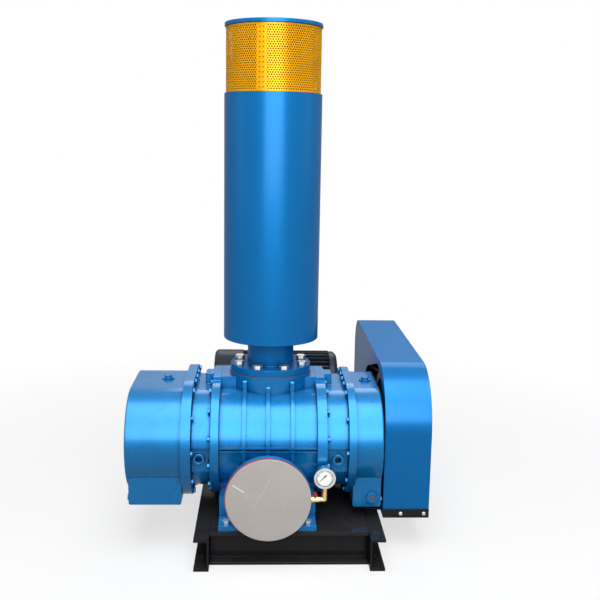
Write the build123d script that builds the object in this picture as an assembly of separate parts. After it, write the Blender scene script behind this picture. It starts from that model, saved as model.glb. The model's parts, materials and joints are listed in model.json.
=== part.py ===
"""Belt-driven Roots vacuum pump on a channel-steel base.

Millimetres. X runs along the rotor shafts to the drive side, Y runs away from the outlet,
Z is up. The origin is the centre of the anchor-hole pattern, on the floor.
"""
import os
from math import asin, atan2, cos, pi, radians, sin, sqrt, tan

from build123d import *

# Running and seating clearances
run_gap = 0.05
part_gap = 0.3
rotor_gap = 0.3

# Base frame
frame_width = 630.0
front_reach = 314.0
belt_reach = 528.0
rear_reach = 258.0
channel_height = 110.0
channel_flange = 50.0
channel_web = 6.0
channel_flange_thick = 9.0
cross_set_back = 46.0
anchor_inset_x = 20.0
anchor_inset_y = 92.0
anchor_hole_r = 9.0
middle_beam_inset = 70.0
motor_beam_inset = 187.0
deck_thick = 6.0
deck_overhang = 16.0

# Rotor pair
rotor_centres = 200.0
rotor_axis_z = 358.0
rotor_lobes = 3
curve_steps = 8
shaft_r = 27.5
drive_end_r = 24.0
shaft_step = 12.0
shaft_end_gap = 8.0
gear_nut_thick = 16.0
gear_nut_wall = 14.0
shaft_past_nut = 6.0

# Pump casing and end plates, along X
casing_x0 = -239.0
casing_x1 = 92.0
gear_plate_thick = 30.0
drive_plate_thick = 34.0
gear_neck_len = 64.0
drive_neck_len = 73.0
bore_wall = 34.5
plate_r = 195.0
neck_r = 169.0
rib_r = 178.0
rib_width = 13.0
rib_places = (-155.5, -74.5, 9.5)
rib_tops = (566.0, 552.0, 566.0)
rib_top_reach = 10.0
rib_top_round = 8.0
side_rib_r = 182.0
side_rib_z0 = 2.0
side_rib_high = 16.0
side_rib_thick = 5.0
side_rib_deep = 60.0
platform_z = 580.0
pad_z = 568.0
pad_half_y = 79.0
lug_thick = 28.0
lug_half_y = 30.0
lug_round = 5.0
inlet_neck_r = 145.0
inlet_bore_r = 75.0
inlet_off_centre = 7.5
port_half_y = 62.0
port_length = 250.0
casing_foot_z = 205.0
casing_foot_thick = 18.0
casing_foot_half_y = 200.0
casing_saddle_half_y = 156.0
neck_shelf = 9.0
neck_step = 16.0
vent_boss_r = 20.0
vent_hole_r = 11.0
vent_boss_deep = 40.0
vent_hole_deep = 36.0
gear_vent = (-307.0, 330.0)
drive_vent = (164.0, 328.0)

# Gear cover and drive cover
gear_cover_x = -555.0
drive_cover_x = 318.0
cover_r = 178.0
cover_wall = 9.0
gear_flange_thick = 33.0
drive_flange_thick = 26.0
gear_flange_r = 202.0
drive_flange_r = 196.0
bolt_inset = 13.0
sump_front = 150.0
gear_sump = (-546.0, -367.0, 162.0)
drive_sump = (219.0, 315.0, 155.0)
sump_wall = 8.0
sump_round = 7.0
sump_short = 32.0
sump_top = 98.0
cover_round = 5.0
drain_reach = 119.0
drain_up = 16.0
drain_hole_r = 9.0
gear_filler = (-434.0, 108.0)
drive_filler = (277.0, 95.0)
filler_hole_r = 14.0
filler_collar_r = 21.0
filler_collar_high = 5.0
sight_x = 285.0
sight_z = 189.0
sight_ring_r = 20.0
sight_seat_r = 14.0
sight_bore_r = 10.0
sight_proud = 9.0
sight_lens_thick = 4.0

# Timing gears
gear_module = 4.0
gear_face = 45.0
gear_x0 = -432.0
gear_backlash = 0.5
gear_addendum = 0.9
gear_dedendum = 1.2
gear_flank_angle = 20.0
gear_rim = 10.0
gear_hub = 22.0
gear_groove = 10.0

# Bearings and seals
bearing_r = 60.0
bearing_width = 31.0
seal_width = 10.0
seal_wall = 14.0
shaft_clear = 2.0
drive_seal_wall = 18.0
drive_seal_proud = 3.0

# Discharge chest and outlet spool
chest_reach = 179.0
chest_wall = 12.0
foot_front_ledge = 83.0
foot_back_ledge = 27.0
foot_thick = 18.0
outlet_z = 240.0
outlet_reach = 113.0
flange_r = 142.5
flange_thick = 22.0
flange_pcd = 240.0
flange_holes = 8
flange_hole_r = 11.0
pipe_r = 84.0
pipe_bore_r = 77.0
gasket_thick = 2.0
spool_plate = 14.0
spool_side = 18.0
spool_top = 10.0
spool_round = 60.0
throat_inset = 15.0
foot_hole_r = 9.0
disc_r = 140.0
disc_thick = 3.0
disc_shift = (1.5, -1.5)

# Silencer
inlet_gasket_thick = 3.0
inlet_flange_thick = 22.0
neck_pipe_r = 82.0
neck_pipe_wall = 5.0
shell_r = 168.0
shell_wall = 3.0
shell_z0 = 697.0
shell_z1 = 1548.0
screen_r = 162.5
screen_wall = 1.5
cap_r = 167.0
cap_z = 1778.0
cap_deep = 14.0
cap_round = 5.0
filter_gap = 22.0
filter_core_gap = 8.0
core_r = 80.0
core_wall = 2.0

# Belt drive
guard_gap = 11.0
guard_width = 161.0
guard_front_reach = 334.0
guard_back_reach = 194.0
guard_rise = 255.0
guard_front_r = 208.0
guard_back_r = 118.0
guard_bottom_z = 108.0
guard_sheet = 3.0
guard_strip_high = 32.0
guard_strip_thick = 3.0
guard_bolt_r = 7.0
guard_bolt_high = 5.0
guard_bolt_insets = (62.0, 18.0)
guard_window_front = (-79.0, 42.0, 187.0)
guard_window_rear = (182.0, 7.0, 150.0)
guard_shaft_hole_r = 60.0
bracket_places = (-254.0, 286.0, 636.0)
bracket_half = 20.0
bracket_sheet = 6.0
bracket_high = 60.0
pump_pulley_r = 180.0
motor_pulley_r = 112.5
pulley_width = 90.0
pulley_inset = 26.0
pulley_hub_wall = 24.0
pulley_rim_wall = 14.0
pulley_dish = 22.0
belt_count = 4
belt_pitch = 19.0
belt_top_width = 16.0
belt_high = 13.0
belt_wedge = 18.0

# Fasteners: width across the flats and height of each head, and shank radii
plate_head = (18.0, 9.0)
cover_head = (17.0, 8.0)
filler_head = (24.0, 9.0)
drain_head = (19.0, 7.0)
foot_head = (24.0, 10.0)
foot_shank_r = 8.0
motor_head = (19.0, 9.0)
flange_head = (30.0, 13.0)
flange_shank_r = 10.0

# Motor
motor_shaft_height = 180.0
rail_high = 35.0
motor_body_x0 = -190.0
motor_body_x1 = 190.0
motor_body_r = 148.0
motor_fin_r = 165.0
motor_fins = 40
motor_shield_thick = 34.0
motor_cowl_x0 = -299.0
motor_shaft_r = 24.0
cowl_sheet = 2.5
cowl_edge = 18.0
motor_wall = 12.0
fin_root_r = 140.0
fin_thick = 4.0
fin_free_half = 45.0
motor_foot_y = 140.0
motor_foot_x = 70.0
motor_foot_half = 28.0
motor_foot_inner = 90.0
motor_foot_ends = 40.0
motor_foot_thick = 20.0
motor_foot_hole_r = 7.5
motor_leg = (96.0, 120.0)
motor_leg_rise = 60.0
shield_edge = 14.0
motor_bearing_r = 55.0
motor_bearing_wide = 24.0
stator_bore_r = 86.0
stator_inset = 70.0
armature_gap = 1.0
cowl_lap = 12.0
cowl_slot_r = 5.5
cowl_first_ring = 46.0
cowl_ring_pitch = 32.0
fan_x = 34.0
fan_wide = 26.0
fan_r = 130.0
fan_hub_r = 44.0
fan_blades = 7
fan_sheet = 4.0
box_x0 = 30.0
box_x1 = 150.0
box_half_high = 55.0
box_deep = 70.0
box_neck = 16.0
box_round = 8.0
rail_half = 24.0
rail_slot_half = 9.0
rail_floor = 10.0
rail_slot_end = 20.0

# Gauge and cock
gauge_x = 115.0
gauge_set_back = 68.0
gauge_z = 291.0
gauge_r = 36.0
gauge_deep = 30.0
brass_z = 213.0
cock_x = 84.0
nipple_r = 7.0
nipple_collar_r = 9.0
cock_r = 11.0
cock_half = 14.0
cock_neck_r = 8.0
cock_neck_high = 15.0
elbow_r = 9.5
riser_r = 9.0
lever_reach = 32.0
lever_half = 3.0
lever_tip_high = 22.0
gauge_wall = 8.0
gauge_back = 10.0
dial_thick = 2.0
glass_thick = 2.0
needle_hub_r = 4.0
needle_long = 32.0
needle_wide = 2.2
needle_shift = 6.0
needle_pin_r = 1.5

# Worked out from the sizes above
frame_depth = front_reach + rotor_centres + belt_reach + rear_reach
half_w = frame_width / 2
half_d = frame_depth / 2
web_x = half_w - channel_flange
front_beam_y = -half_d + cross_set_back
deck_z = channel_height + deck_thick
front_rotor_y = -half_d + front_reach
back_rotor_y = front_rotor_y + rotor_centres
motor_y = back_rotor_y + belt_reach
pump_y = front_rotor_y + rotor_centres / 2
pitch_r = rotor_centres / 2
rotor_roll_r = (pitch_r - rotor_gap) / (2 * rotor_lobes)
rotor_tip_r = pitch_r - rotor_gap + 2 * rotor_roll_r
bore_r = rotor_tip_r + rotor_gap
casing_r = bore_r + bore_wall
pump_x = (casing_x0 + casing_x1) / 2
gear_plate_x = casing_x0 - gear_plate_thick
gear_neck_x = gear_plate_x - gear_neck_len
drive_plate_x = casing_x1 + drive_plate_thick
drive_neck_x = drive_plate_x + drive_neck_len
motor_z = channel_height + rail_high + motor_shaft_height
shell_x = pump_x + inlet_off_centre
outlet_x = pump_x
chest_front = front_rotor_y - chest_reach
chest_back = back_rotor_y + chest_reach
foot_front = chest_front - foot_front_ledge
foot_back = chest_back + foot_back_ledge
middle_beam_y = foot_back - middle_beam_inset
motor_beam_y = motor_y - motor_beam_inset
outlet_flange_y = chest_front - outlet_reach
gauge_y = outlet_flange_y + gauge_set_back
drain_y = front_rotor_y - drain_reach
guard_x0 = half_w + guard_gap
guard_x1 = guard_x0 + guard_width
guard_front_y = back_rotor_y - guard_front_reach
guard_back_y = motor_y + guard_back_reach
guard_top_z = rotor_axis_z + guard_rise
pulley_x0 = guard_x0 + pulley_inset
motor_foot_z = channel_height + rail_high

parts = {}


def keep(name, *solids):
    """Store one node, as one solid or as a group of separate solids."""
    solids = [s for group in solids for s in (group if isinstance(group, (list, tuple)) else [group])]
    flat = [one for s in solids for one in s.solids()]
    parts[name] = flat[0] if len(flat) == 1 else Compound(children=flat)


def box(x0, x1, y0, y1, z0, z1):
    size = Box(x1 - x0, y1 - y0, z1 - z0)
    return Pos((x0 + x1) / 2, (y0 + y1) / 2, (z0 + z1) / 2) * size


def side_plane(x, y=0.0, z=0.0):
    """A plane across the shafts: its own x is +Y, its own y is +Z, and it faces +X."""
    return Plane((x, y, z), x_dir=(0, 1, 0), z_dir=(1, 0, 0))


def cyl_x(y, z, r, x0, x1):
    return extrude(side_plane(x0, y, z) * Circle(r), x1 - x0)


def cyl_y(x, z, r, y0, y1):
    return extrude(Plane((x, y0, z), x_dir=(1, 0, 0), z_dir=(0, 1, 0)) * Circle(r), y1 - y0)


def cyl_z(x, y, r, z0, z1):
    return extrude(Plane((x, y, z0)) * Circle(r), z1 - z0)


def pump_slot(r, x0, x1):
    """A solid with the stadium outline round both rotor axes."""
    outline = SlotCenterToCenter(rotor_centres, 2 * r)
    return extrude(side_plane(x0, pump_y, rotor_axis_z) * outline, x1 - x0)


def slot_points(r, count_side, count_end):
    """Bolt places on the stadium outline, as (y, z)."""
    places = []
    for i in range(count_side):
        y = pump_y - rotor_centres / 2 + rotor_centres * (i + 0.5) / count_side
        places.append((y, rotor_axis_z + r))
        places.append((y, rotor_axis_z - r))
    for i in range(count_end):
        a = radians(90.0 + 180.0 * (i + 0.5) / count_end)
        places.append((front_rotor_y + r * cos(a), rotor_axis_z + r * sin(a)))
        places.append((back_rotor_y - r * cos(a), rotor_axis_z + r * sin(a)))
    return places


def hex_head(plane, across, height):
    return extrude(plane * RegularPolygon(across / 2, 6, major_radius=False), height)


def bolt_x(x, y, z, across, height, way, shank_r=0.0, shank=0.0):
    """A hexagon-head bolt along X: the head's seat is at x and the head points along way."""
    plane = Plane((x, y, z), x_dir=(0, 1, 0), z_dir=(way, 0, 0))
    solid = hex_head(plane, across, height)
    if shank:
        solid += extrude(plane * Circle(shank_r), -shank)
    return solid


def bolt_z(x, y, z, across, height, shank_r=0.0, shank=0.0):
    plane = Plane((x, y, z))
    solid = hex_head(plane, across, height)
    if shank:
        solid += extrude(plane * Circle(shank_r), -shank)
    return solid


# Base frame

def side_channel(side):
    """One side channel, its flanges pointing outwards."""
    web = box(web_x, web_x + channel_web, -half_d, half_d, 0, channel_height)
    low = box(web_x, half_w, -half_d, half_d, 0, channel_flange_thick)
    high = box(web_x, half_w, -half_d, half_d, channel_height - channel_flange_thick, channel_height)
    channel = web + low + high
    for end in (-1, 1):
        y = end * (half_d - anchor_inset_y)
        channel -= cyl_z(half_w - anchor_inset_x, y, anchor_hole_r, -1, channel_flange_thick + 1)
    return channel if side > 0 else mirror(channel, about=Plane.YZ)


def cross_channel(y, way):
    """A cross channel between the webs, opening along way from its web at y."""
    reach = y + way * channel_flange
    low_y, high_y = min(y, reach), max(y, reach)
    web = box(-web_x, web_x, *sorted((y, y + way * channel_web)), 0, channel_height)
    low = box(-web_x, web_x, low_y, high_y, 0, channel_flange_thick)
    high = box(-web_x, web_x, low_y, high_y, channel_height - channel_flange_thick, channel_height)
    return web + low + high


def build_frame():
    keep("base_side_channels", side_channel(-1), side_channel(1))
    front_web = front_beam_y + channel_flange
    keep("base_cross_channels", cross_channel(front_web, -1), cross_channel(middle_beam_y, 1),
         cross_channel(motor_beam_y, 1), cross_channel(-front_web, 1))
    deck = box(-web_x, web_x, front_beam_y, foot_back + deck_overhang, channel_height, deck_z)
    keep("base_deck_plate", deck)


# Rotors, shafts and timing gears

def rotor_profile(turn):
    """Three-lobe cycloid outline: epicycloid lobes joined by hypocycloid hollows."""
    r = rotor_roll_r
    big = 2 * rotor_lobes * r
    step = pi / rotor_lobes
    edges = []
    for i in range(2 * rotor_lobes):
        start = turn + i * step
        points = []
        for k in range(curve_steps + 1):
            t = step * k / curve_steps
            if i % 2 == 0:
                x = (big + r) * cos(t) - r * cos((big + r) / r * t)
                y = (big + r) * sin(t) - r * sin((big + r) / r * t)
            else:
                x = (big - r) * cos(t) + r * cos((big - r) / r * t)
                y = (big - r) * sin(t) - r * sin((big - r) / r * t)
            points.append((x * cos(start) - y * sin(start), x * sin(start) + y * cos(start)))
        edges.append(Spline(*points))
    return make_face(edges)


def rotor_and_shaft(y, turn, drive_x):
    """One rotor cast on its shaft; drive_x is where the shaft's drive end stops."""
    body = extrude(side_plane(casing_x0 + rotor_gap, y, rotor_axis_z) * rotor_profile(turn),
                   casing_x1 - casing_x0 - 2 * rotor_gap)
    near_x = gear_x0 - gear_nut_thick - shaft_past_nut
    step_x = drive_neck_x + shaft_step
    solid = body + cyl_x(y, rotor_axis_z, shaft_r, near_x, min(drive_x, step_x))
    if drive_x > step_x:
        solid += cyl_x(y, rotor_axis_z, drive_end_r, step_x, drive_x)
    return solid


def timing_gear(y, turn):
    """A spur timing gear with straight-flanked teeth and a lightening groove in its web."""
    teeth = round(rotor_centres / gear_module)
    pitch = 2 * pi / teeth
    tip = pitch_r + gear_addendum * gear_module
    root = pitch_r - gear_dedendum * gear_module
    half = (pi * gear_module / 2 - gear_backlash) / 2
    lean = tan(radians(gear_flank_angle))
    half_tip = half - gear_addendum * gear_module * lean
    half_root = half + gear_dedendum * gear_module * lean
    points = []
    for i in range(teeth):
        a = turn + i * pitch
        for r, w in ((root, -half_root), (tip, -half_tip), (tip, half_tip), (root, half_root)):
            points.append((r * cos(a + w / r), r * sin(a + w / r)))
    plane = side_plane(gear_x0, y, rotor_axis_z)
    gear = extrude(plane * make_face(Polyline(*points, close=True)), gear_face)
    groove = Circle(root - gear_rim) - Circle(shaft_r + gear_hub)
    gear -= extrude(plane * groove, gear_groove)
    gear -= extrude(plane.offset(gear_face - gear_groove) * groove, gear_groove)
    return gear - cyl_x(y, rotor_axis_z, shaft_r + run_gap, gear_x0 - 1, gear_x0 + gear_face + 1)


def build_rotors():
    lobe_turn = pi / 2 - pi / (2 * rotor_lobes)
    drive_end = pulley_x0 + pulley_width - shaft_end_gap
    keep("drive_rotor", rotor_and_shaft(back_rotor_y, lobe_turn, drive_end))
    driven_turn = lobe_turn + pi / rotor_lobes
    keep("driven_rotor", rotor_and_shaft(front_rotor_y, driven_turn, drive_neck_x + shaft_step))
    tooth = 2 * pi / round(rotor_centres / gear_module)
    keep("drive_timing_gear", timing_gear(back_rotor_y, pi + tooth / 2))
    keep("driven_timing_gear", timing_gear(front_rotor_y, 0.0))
    nuts = []
    for y in (back_rotor_y, front_rotor_y):
        x1 = gear_x0 - part_gap
        nut = cyl_x(y, rotor_axis_z, shaft_r + gear_nut_wall, x1 - gear_nut_thick, x1)
        nuts.append(nut - cyl_x(y, rotor_axis_z, shaft_r + run_gap, x1 - gear_nut_thick - 1, x1 + 1))
    keep("drive_gear_nut", nuts[0])
    keep("driven_gear_nut", nuts[1])


# Casing, plates and covers

def rib_top(x, top_z):
    """The upper end of a casing rib, where it runs up against the inlet neck."""
    half = sqrt(inlet_neck_r ** 2 - (x - shell_x) ** 2) + rib_top_reach
    top = box(x - rib_width / 2, x + rib_width / 2, pump_y - half, pump_y + half,
              rotor_axis_z + bore_r, top_z)
    return fillet(top.edges().filter_by(Axis.X).sort_by(Axis.Z)[-2:], rib_top_round)


def build_casing():
    outer = pump_slot(casing_r, casing_x0, casing_x1)
    for x, top_z in zip(rib_places, rib_tops):
        outer += pump_slot(rib_r, x - rib_width / 2, x + rib_width / 2)
        outer += rib_top(x, top_z)
    for side in (-1, 1):
        wall = pump_y + side * (rotor_centres / 2 + side_rib_r)
        y0, y1 = sorted((wall, wall - side * side_rib_deep))
        z0 = rotor_axis_z + side_rib_z0
        for z in (z0, z0 + side_rib_high - side_rib_thick):
            outer += box(casing_x0, casing_x1, y0, y1, z, z + side_rib_thick)
    outer += box(casing_x0, casing_x1, pump_y - pad_half_y, pump_y + pad_half_y,
                 rotor_axis_z + bore_r, pad_z)
    outer += cyl_z(shell_x, pump_y, inlet_neck_r, rotor_axis_z, platform_z)
    outer += box(casing_x0, casing_x1, pump_y - casing_foot_half_y, pump_y + casing_foot_half_y,
                 casing_foot_z, casing_foot_z + casing_foot_thick)
    outer += box(casing_x0, casing_x1, pump_y - casing_saddle_half_y, pump_y + casing_saddle_half_y,
                 casing_foot_z, rotor_axis_z)
    reach = rotor_centres + rib_r
    outer -= box(casing_x0 - 1, casing_x1 + 1, pump_y - reach, pump_y + reach, 0, casing_foot_z)
    for y in (front_rotor_y, back_rotor_y):
        outer -= cyl_x(y, rotor_axis_z, bore_r, casing_x0 - 1, casing_x1 + 1)
    outer -= cyl_z(shell_x, pump_y, inlet_bore_r, rotor_axis_z, platform_z + 1)
    outer -= box(pump_x - port_length / 2, pump_x + port_length / 2, pump_y - port_half_y,
                 pump_y + port_half_y, casing_foot_z - 1, rotor_axis_z)
    keep("pump_casing", outer)


def plate(x0, x1, neck_x, vent):
    """An end plate with its bearing neck, top land and lug, vent boss and shaft bores."""
    body = pump_slot(plate_r, x0, x1)
    body += box(x0, x1, pump_y - pad_half_y, pump_y + pad_half_y, rotor_axis_z + neck_r, pad_z)
    outward = -1 if neck_x < x0 else 1
    a, b = sorted((neck_x, x1 if outward > 0 else x0))
    neck = pump_slot(neck_r, a, b)
    shelf = rotor_axis_z + neck_shelf
    front = front_rotor_y - neck_r
    neck -= box(a - 1, b + 1, front - 1, front + neck_step, rotor_axis_z - neck_r, shelf)
    boss_x, boss_z = vent
    neck += cyl_y(boss_x, boss_z, vent_boss_r, front + 1, front + vent_boss_deep)
    body += neck
    body -= cyl_y(boss_x, boss_z, vent_hole_r, front - 1, front + vent_hole_deep)
    inner, outer = (x0, x1) if outward > 0 else (x1, x0)
    lug = box(*sorted((outer, outer + outward * lug_thick)), pump_y - lug_half_y, pump_y + lug_half_y,
              rotor_axis_z + neck_r - lug_round, pad_z)
    lug = fillet(lug.faces().sort_by(Axis.X)[0 if outward < 0 else -1].edges(), lug_round)
    body += lug
    for y in (front_rotor_y, back_rotor_y):
        body -= cyl_x(y, rotor_axis_z, shaft_r + shaft_clear, min(x0, a) - 1, max(x1, b) + 1)
        end = neck_x - outward * (bearing_width + 2)
        body -= cyl_x(y, rotor_axis_z, bearing_r + part_gap, *sorted((neck_x + outward, end)))
        seat = sorted((inner - outward, inner + outward * seal_width))
        body -= cyl_x(y, rotor_axis_z, shaft_r + seal_wall, *seat)
    return body


def build_plates():
    gear = plate(gear_plate_x, casing_x0, gear_neck_x, gear_vent)
    drive = plate(casing_x1, drive_plate_x, drive_neck_x, drive_vent)
    keep("gear_side_plate", gear)
    keep("drive_side_plate", drive)
    bearings = []
    seals = []
    for y in (front_rotor_y, back_rotor_y):
        for x, way in ((gear_neck_x, -1), (drive_neck_x, 1)):
            a, b = sorted((x - way * 1.0, x - way * (bearing_width + 1)))
            ring = cyl_x(y, rotor_axis_z, bearing_r, a, b)
            bearings.append(ring - cyl_x(y, rotor_axis_z, shaft_r + run_gap, a - 1, b + 1))
        for x, way in ((casing_x0, -1), (casing_x1, 1)):
            a, b = sorted((x + way * 0.5, x + way * (seal_width - 0.5)))
            ring = cyl_x(y, rotor_axis_z, shaft_r + seal_wall - part_gap, a, b)
            seals.append(ring - cyl_x(y, rotor_axis_z, shaft_r + run_gap, a - 1, b + 1))
    keep("rotor_bearings", bearings)
    keep("rotor_labyrinth_seals", seals)


def cover_shell(x_flange, x_step, x_end, flange_rr, sump):
    """A hollow oil cover: flange, stadium shell and the sump box under it."""
    way = -1 if x_end < x_flange else 1
    flange = pump_slot(flange_rr, *sorted((x_flange, x_step)))
    shell = pump_slot(cover_r, *sorted((x_step - way * 1, x_end)))
    face = shell.faces().sort_by(Axis.X)[0 if way < 0 else -1]
    shell = fillet(face.edges(), cover_round)
    x0, x1, z0 = sump
    front = pump_y - rotor_centres / 2 - sump_front
    back = pump_y + rotor_centres / 2 + sump_front - sump_short
    pan = box(x0, x1, front, back, z0, rotor_axis_z - sump_top)
    pan = fillet(pan.edges().filter_by(Axis.Y), sump_round)
    outer = flange + shell + pan
    a, b = sorted((x_flange - way, x_end - way * cover_wall))
    hollow = pump_slot(cover_r - cover_wall, a, b)
    sump_hollow = box(x0 + sump_wall, x1 - sump_wall, front + sump_wall, back - sump_wall,
                      z0 + sump_wall, rotor_axis_z - sump_top + sump_wall)
    limit = box(a, b, front, back, z0, rotor_axis_z)
    return outer - hollow - (sump_hollow & limit)


def build_covers():
    gear = cover_shell(gear_neck_x - part_gap, gear_neck_x - gear_flange_thick, gear_cover_x,
                       gear_flange_r, gear_sump)
    drive = cover_shell(drive_neck_x + part_gap, drive_neck_x + drive_flange_thick, drive_cover_x,
                        drive_flange_r, drive_sump)
    bore = shaft_r + drive_seal_wall
    drive -= cyl_x(back_rotor_y, rotor_axis_z, bore, drive_cover_x - cover_wall - 1, drive_cover_x + 1)
    seal = cyl_x(back_rotor_y, rotor_axis_z, bore - part_gap, drive_cover_x - cover_wall,
                 drive_cover_x + drive_seal_proud)
    seal -= cyl_x(back_rotor_y, rotor_axis_z, drive_end_r + run_gap, drive_cover_x - 2 * cover_wall,
                  drive_cover_x + 2 * drive_seal_proud)
    keep("drive_shaft_seal", seal)
    plugs = []
    drains = []
    z = rotor_axis_z + cover_r
    for x, up in (gear_filler, drive_filler):
        y = front_rotor_y + up
        hole = cyl_z(x, y, filler_hole_r, z - cover_wall - 1, z + 1)
        plug = cyl_z(x, y, filler_hole_r - part_gap, z - cover_wall, z)
        plug += cyl_z(x, y, filler_collar_r, z, z + filler_collar_high)
        plugs.append(plug + hex_head(Plane((x, y, z + filler_collar_high)), *filler_head))
        if x < 0:
            gear -= hole
        else:
            drive -= hole
    front = pump_y - rotor_centres / 2 - sump_front
    ends = ((gear_sump[0], gear_sump[2] + drain_up, -1), (drive_sump[1], drive_sump[2] + drain_up, 1))
    for x, z, way in ends:
        hole = cyl_x(drain_y, z, drain_hole_r, *sorted((x + way, x - way * (sump_wall + 1))))
        drain = cyl_x(drain_y, z, drain_hole_r - part_gap, *sorted((x, x - way * sump_wall)))
        drains.append(drain + bolt_x(x, drain_y, z, *drain_head, way))
        if way < 0:
            gear -= hole
        else:
            drive -= hole
    keep("oil_plugs", plugs, drains)
    drive -= cyl_y(sight_x, sight_z, sight_seat_r, front - 1, front + sump_wall + 1)
    ring = cyl_y(sight_x, sight_z, sight_ring_r, front - sight_proud, front)
    ring += cyl_y(sight_x, sight_z, sight_seat_r - part_gap, front, front + sump_wall)
    ring -= cyl_y(sight_x, sight_z, sight_bore_r, front - sight_proud - 1, front + sump_wall + 1)
    lens_y = front - sight_proud + 2
    lens = cyl_y(sight_x, sight_z, sight_bore_r - part_gap, lens_y, lens_y + sight_lens_thick)
    keep("oil_sight_ring", ring)
    keep("oil_sight_lens", lens)
    keep("gear_cover", gear)
    keep("drive_cover", drive)


def build_pump_bolts():
    plate_bolts = []
    for y, z in slot_points(plate_r - bolt_inset, 2, 6):
        plate_bolts.append(bolt_x(gear_plate_x, y, z, *plate_head, -1))
        plate_bolts.append(bolt_x(drive_plate_x, y, z, *plate_head, 1))
    keep("end_plate_bolts", plate_bolts)
    cover_bolts = []
    for y, z in slot_points(gear_flange_r - bolt_inset, 3, 5):
        cover_bolts.append(bolt_x(gear_neck_x - part_gap, y, z, *cover_head, 1))
    for y, z in slot_points(drive_flange_r - bolt_inset, 3, 5):
        cover_bolts.append(bolt_x(drive_neck_x + part_gap, y, z, *cover_head, -1))
    keep("cover_bolts", cover_bolts)


# Discharge chest, outlet and gauge

def flange_places(x, z, pcd, holes):
    """Hole centres of a round flange, straddling its centre lines."""
    turns = [radians(360 / holes * (i + 0.5)) for i in range(holes)]
    return [(x + pcd / 2 * cos(a), z + pcd / 2 * sin(a)) for a in turns]


def build_chest():
    x0, x1 = casing_x0 + 2, casing_x1 - 3
    top = casing_foot_z - gasket_thick
    w = chest_wall
    foot = box(x0, x1, foot_front, foot_back, deck_z, deck_z + foot_thick)
    chest = foot + box(x0, x1, chest_front, chest_back, deck_z + foot_thick - 1, top)
    chest -= box(x0 + w, x1 - w, chest_front + w, chest_back - w, deck_z + foot_thick, top - w)
    chest -= box(pump_x - port_length / 2, pump_x + port_length / 2, pump_y - port_half_y,
                 pump_y + port_half_y, top - w - 1, top + 1)
    throat_z0, throat_z1 = outlet_z - pipe_bore_r, top - w
    half = pipe_bore_r - throat_inset
    throat = box(outlet_x - half, outlet_x + half, chest_front - spool_plate - 1,
                 chest_front + w + 1, throat_z0, throat_z1)
    chest -= throat
    for x, y in foot_bolt_places():
        chest -= cyl_z(x, y, foot_hole_r, deck_z - 1, deck_z + foot_thick + 1)
    keep("discharge_chest", chest)
    back = chest_front - spool_plate
    side = pipe_r + spool_side
    spool = box(outlet_x - side, outlet_x + side, back, chest_front, deck_z + foot_thick,
                outlet_z + pipe_r + spool_top)
    spool = fillet(spool.edges().filter_by(Axis.Y).sort_by(Axis.Z)[-2:], spool_round)
    spool += cyl_y(outlet_x, outlet_z, pipe_r, outlet_flange_y + 1, back + 1)
    spool += cyl_y(outlet_x, outlet_z, flange_r, outlet_flange_y, outlet_flange_y + flange_thick)
    for x, z in flange_places(outlet_x, outlet_z, flange_pcd, flange_holes):
        spool -= cyl_y(x, z, flange_hole_r, outlet_flange_y - 1, outlet_flange_y + flange_thick + 1)
    spool -= cyl_y(outlet_x, outlet_z, pipe_bore_r, outlet_flange_y - 1, back + 2)
    spool -= throat
    spool -= cyl_x(gauge_y, brass_z, nipple_r, outlet_x, outlet_x + 2 * pipe_r)
    keep("outlet_spool", spool)
    y0 = outlet_flange_y - gasket_thick
    ring = cyl_y(outlet_x, outlet_z, flange_r - 1, y0, outlet_flange_y)
    ring -= cyl_y(outlet_x, outlet_z, pipe_bore_r, y0 - 1, outlet_flange_y + 1)
    for x, z in flange_places(outlet_x, outlet_z, flange_pcd, flange_holes):
        ring -= cyl_y(x, z, flange_hole_r, y0 - 1, outlet_flange_y + 1)
    keep("outlet_gasket", ring)
    disc_x, disc_z = outlet_x + disc_shift[0], outlet_z + disc_shift[1]
    keep("outlet_cover_disc", cyl_y(disc_x, disc_z, disc_r, y0 - disc_thick, y0))


def chest_gasket():
    top = casing_foot_z - gasket_thick
    seat = box(casing_x0 + 2, casing_x1 - 3, pump_y - casing_foot_half_y, pump_y + casing_foot_half_y,
               top, casing_foot_z)
    return seat - box(pump_x - port_length / 2, pump_x + port_length / 2, pump_y - port_half_y,
                      pump_y + port_half_y, top - 1, casing_foot_z + 1)


def foot_bolt_places():
    return [(casing_x0 + 28, foot_front + 28), (casing_x1 - 30, foot_front + 28),
            (casing_x0 + 28, foot_back - 14), (casing_x1 - 30, foot_back - 14)]


def build_foot_bolts():
    bolts = []
    for x, y in foot_bolt_places():
        bolts.append(bolt_z(x, y, deck_z + foot_thick, *foot_head, foot_shank_r, foot_thick))
    top = motor_foot_z + motor_foot_thick
    for x, y in motor_foot_places():
        bolts.append(bolt_z(x, y, top, *motor_head, motor_foot_hole_r - 1, motor_foot_thick))
    keep("foot_bolts", bolts)


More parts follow.
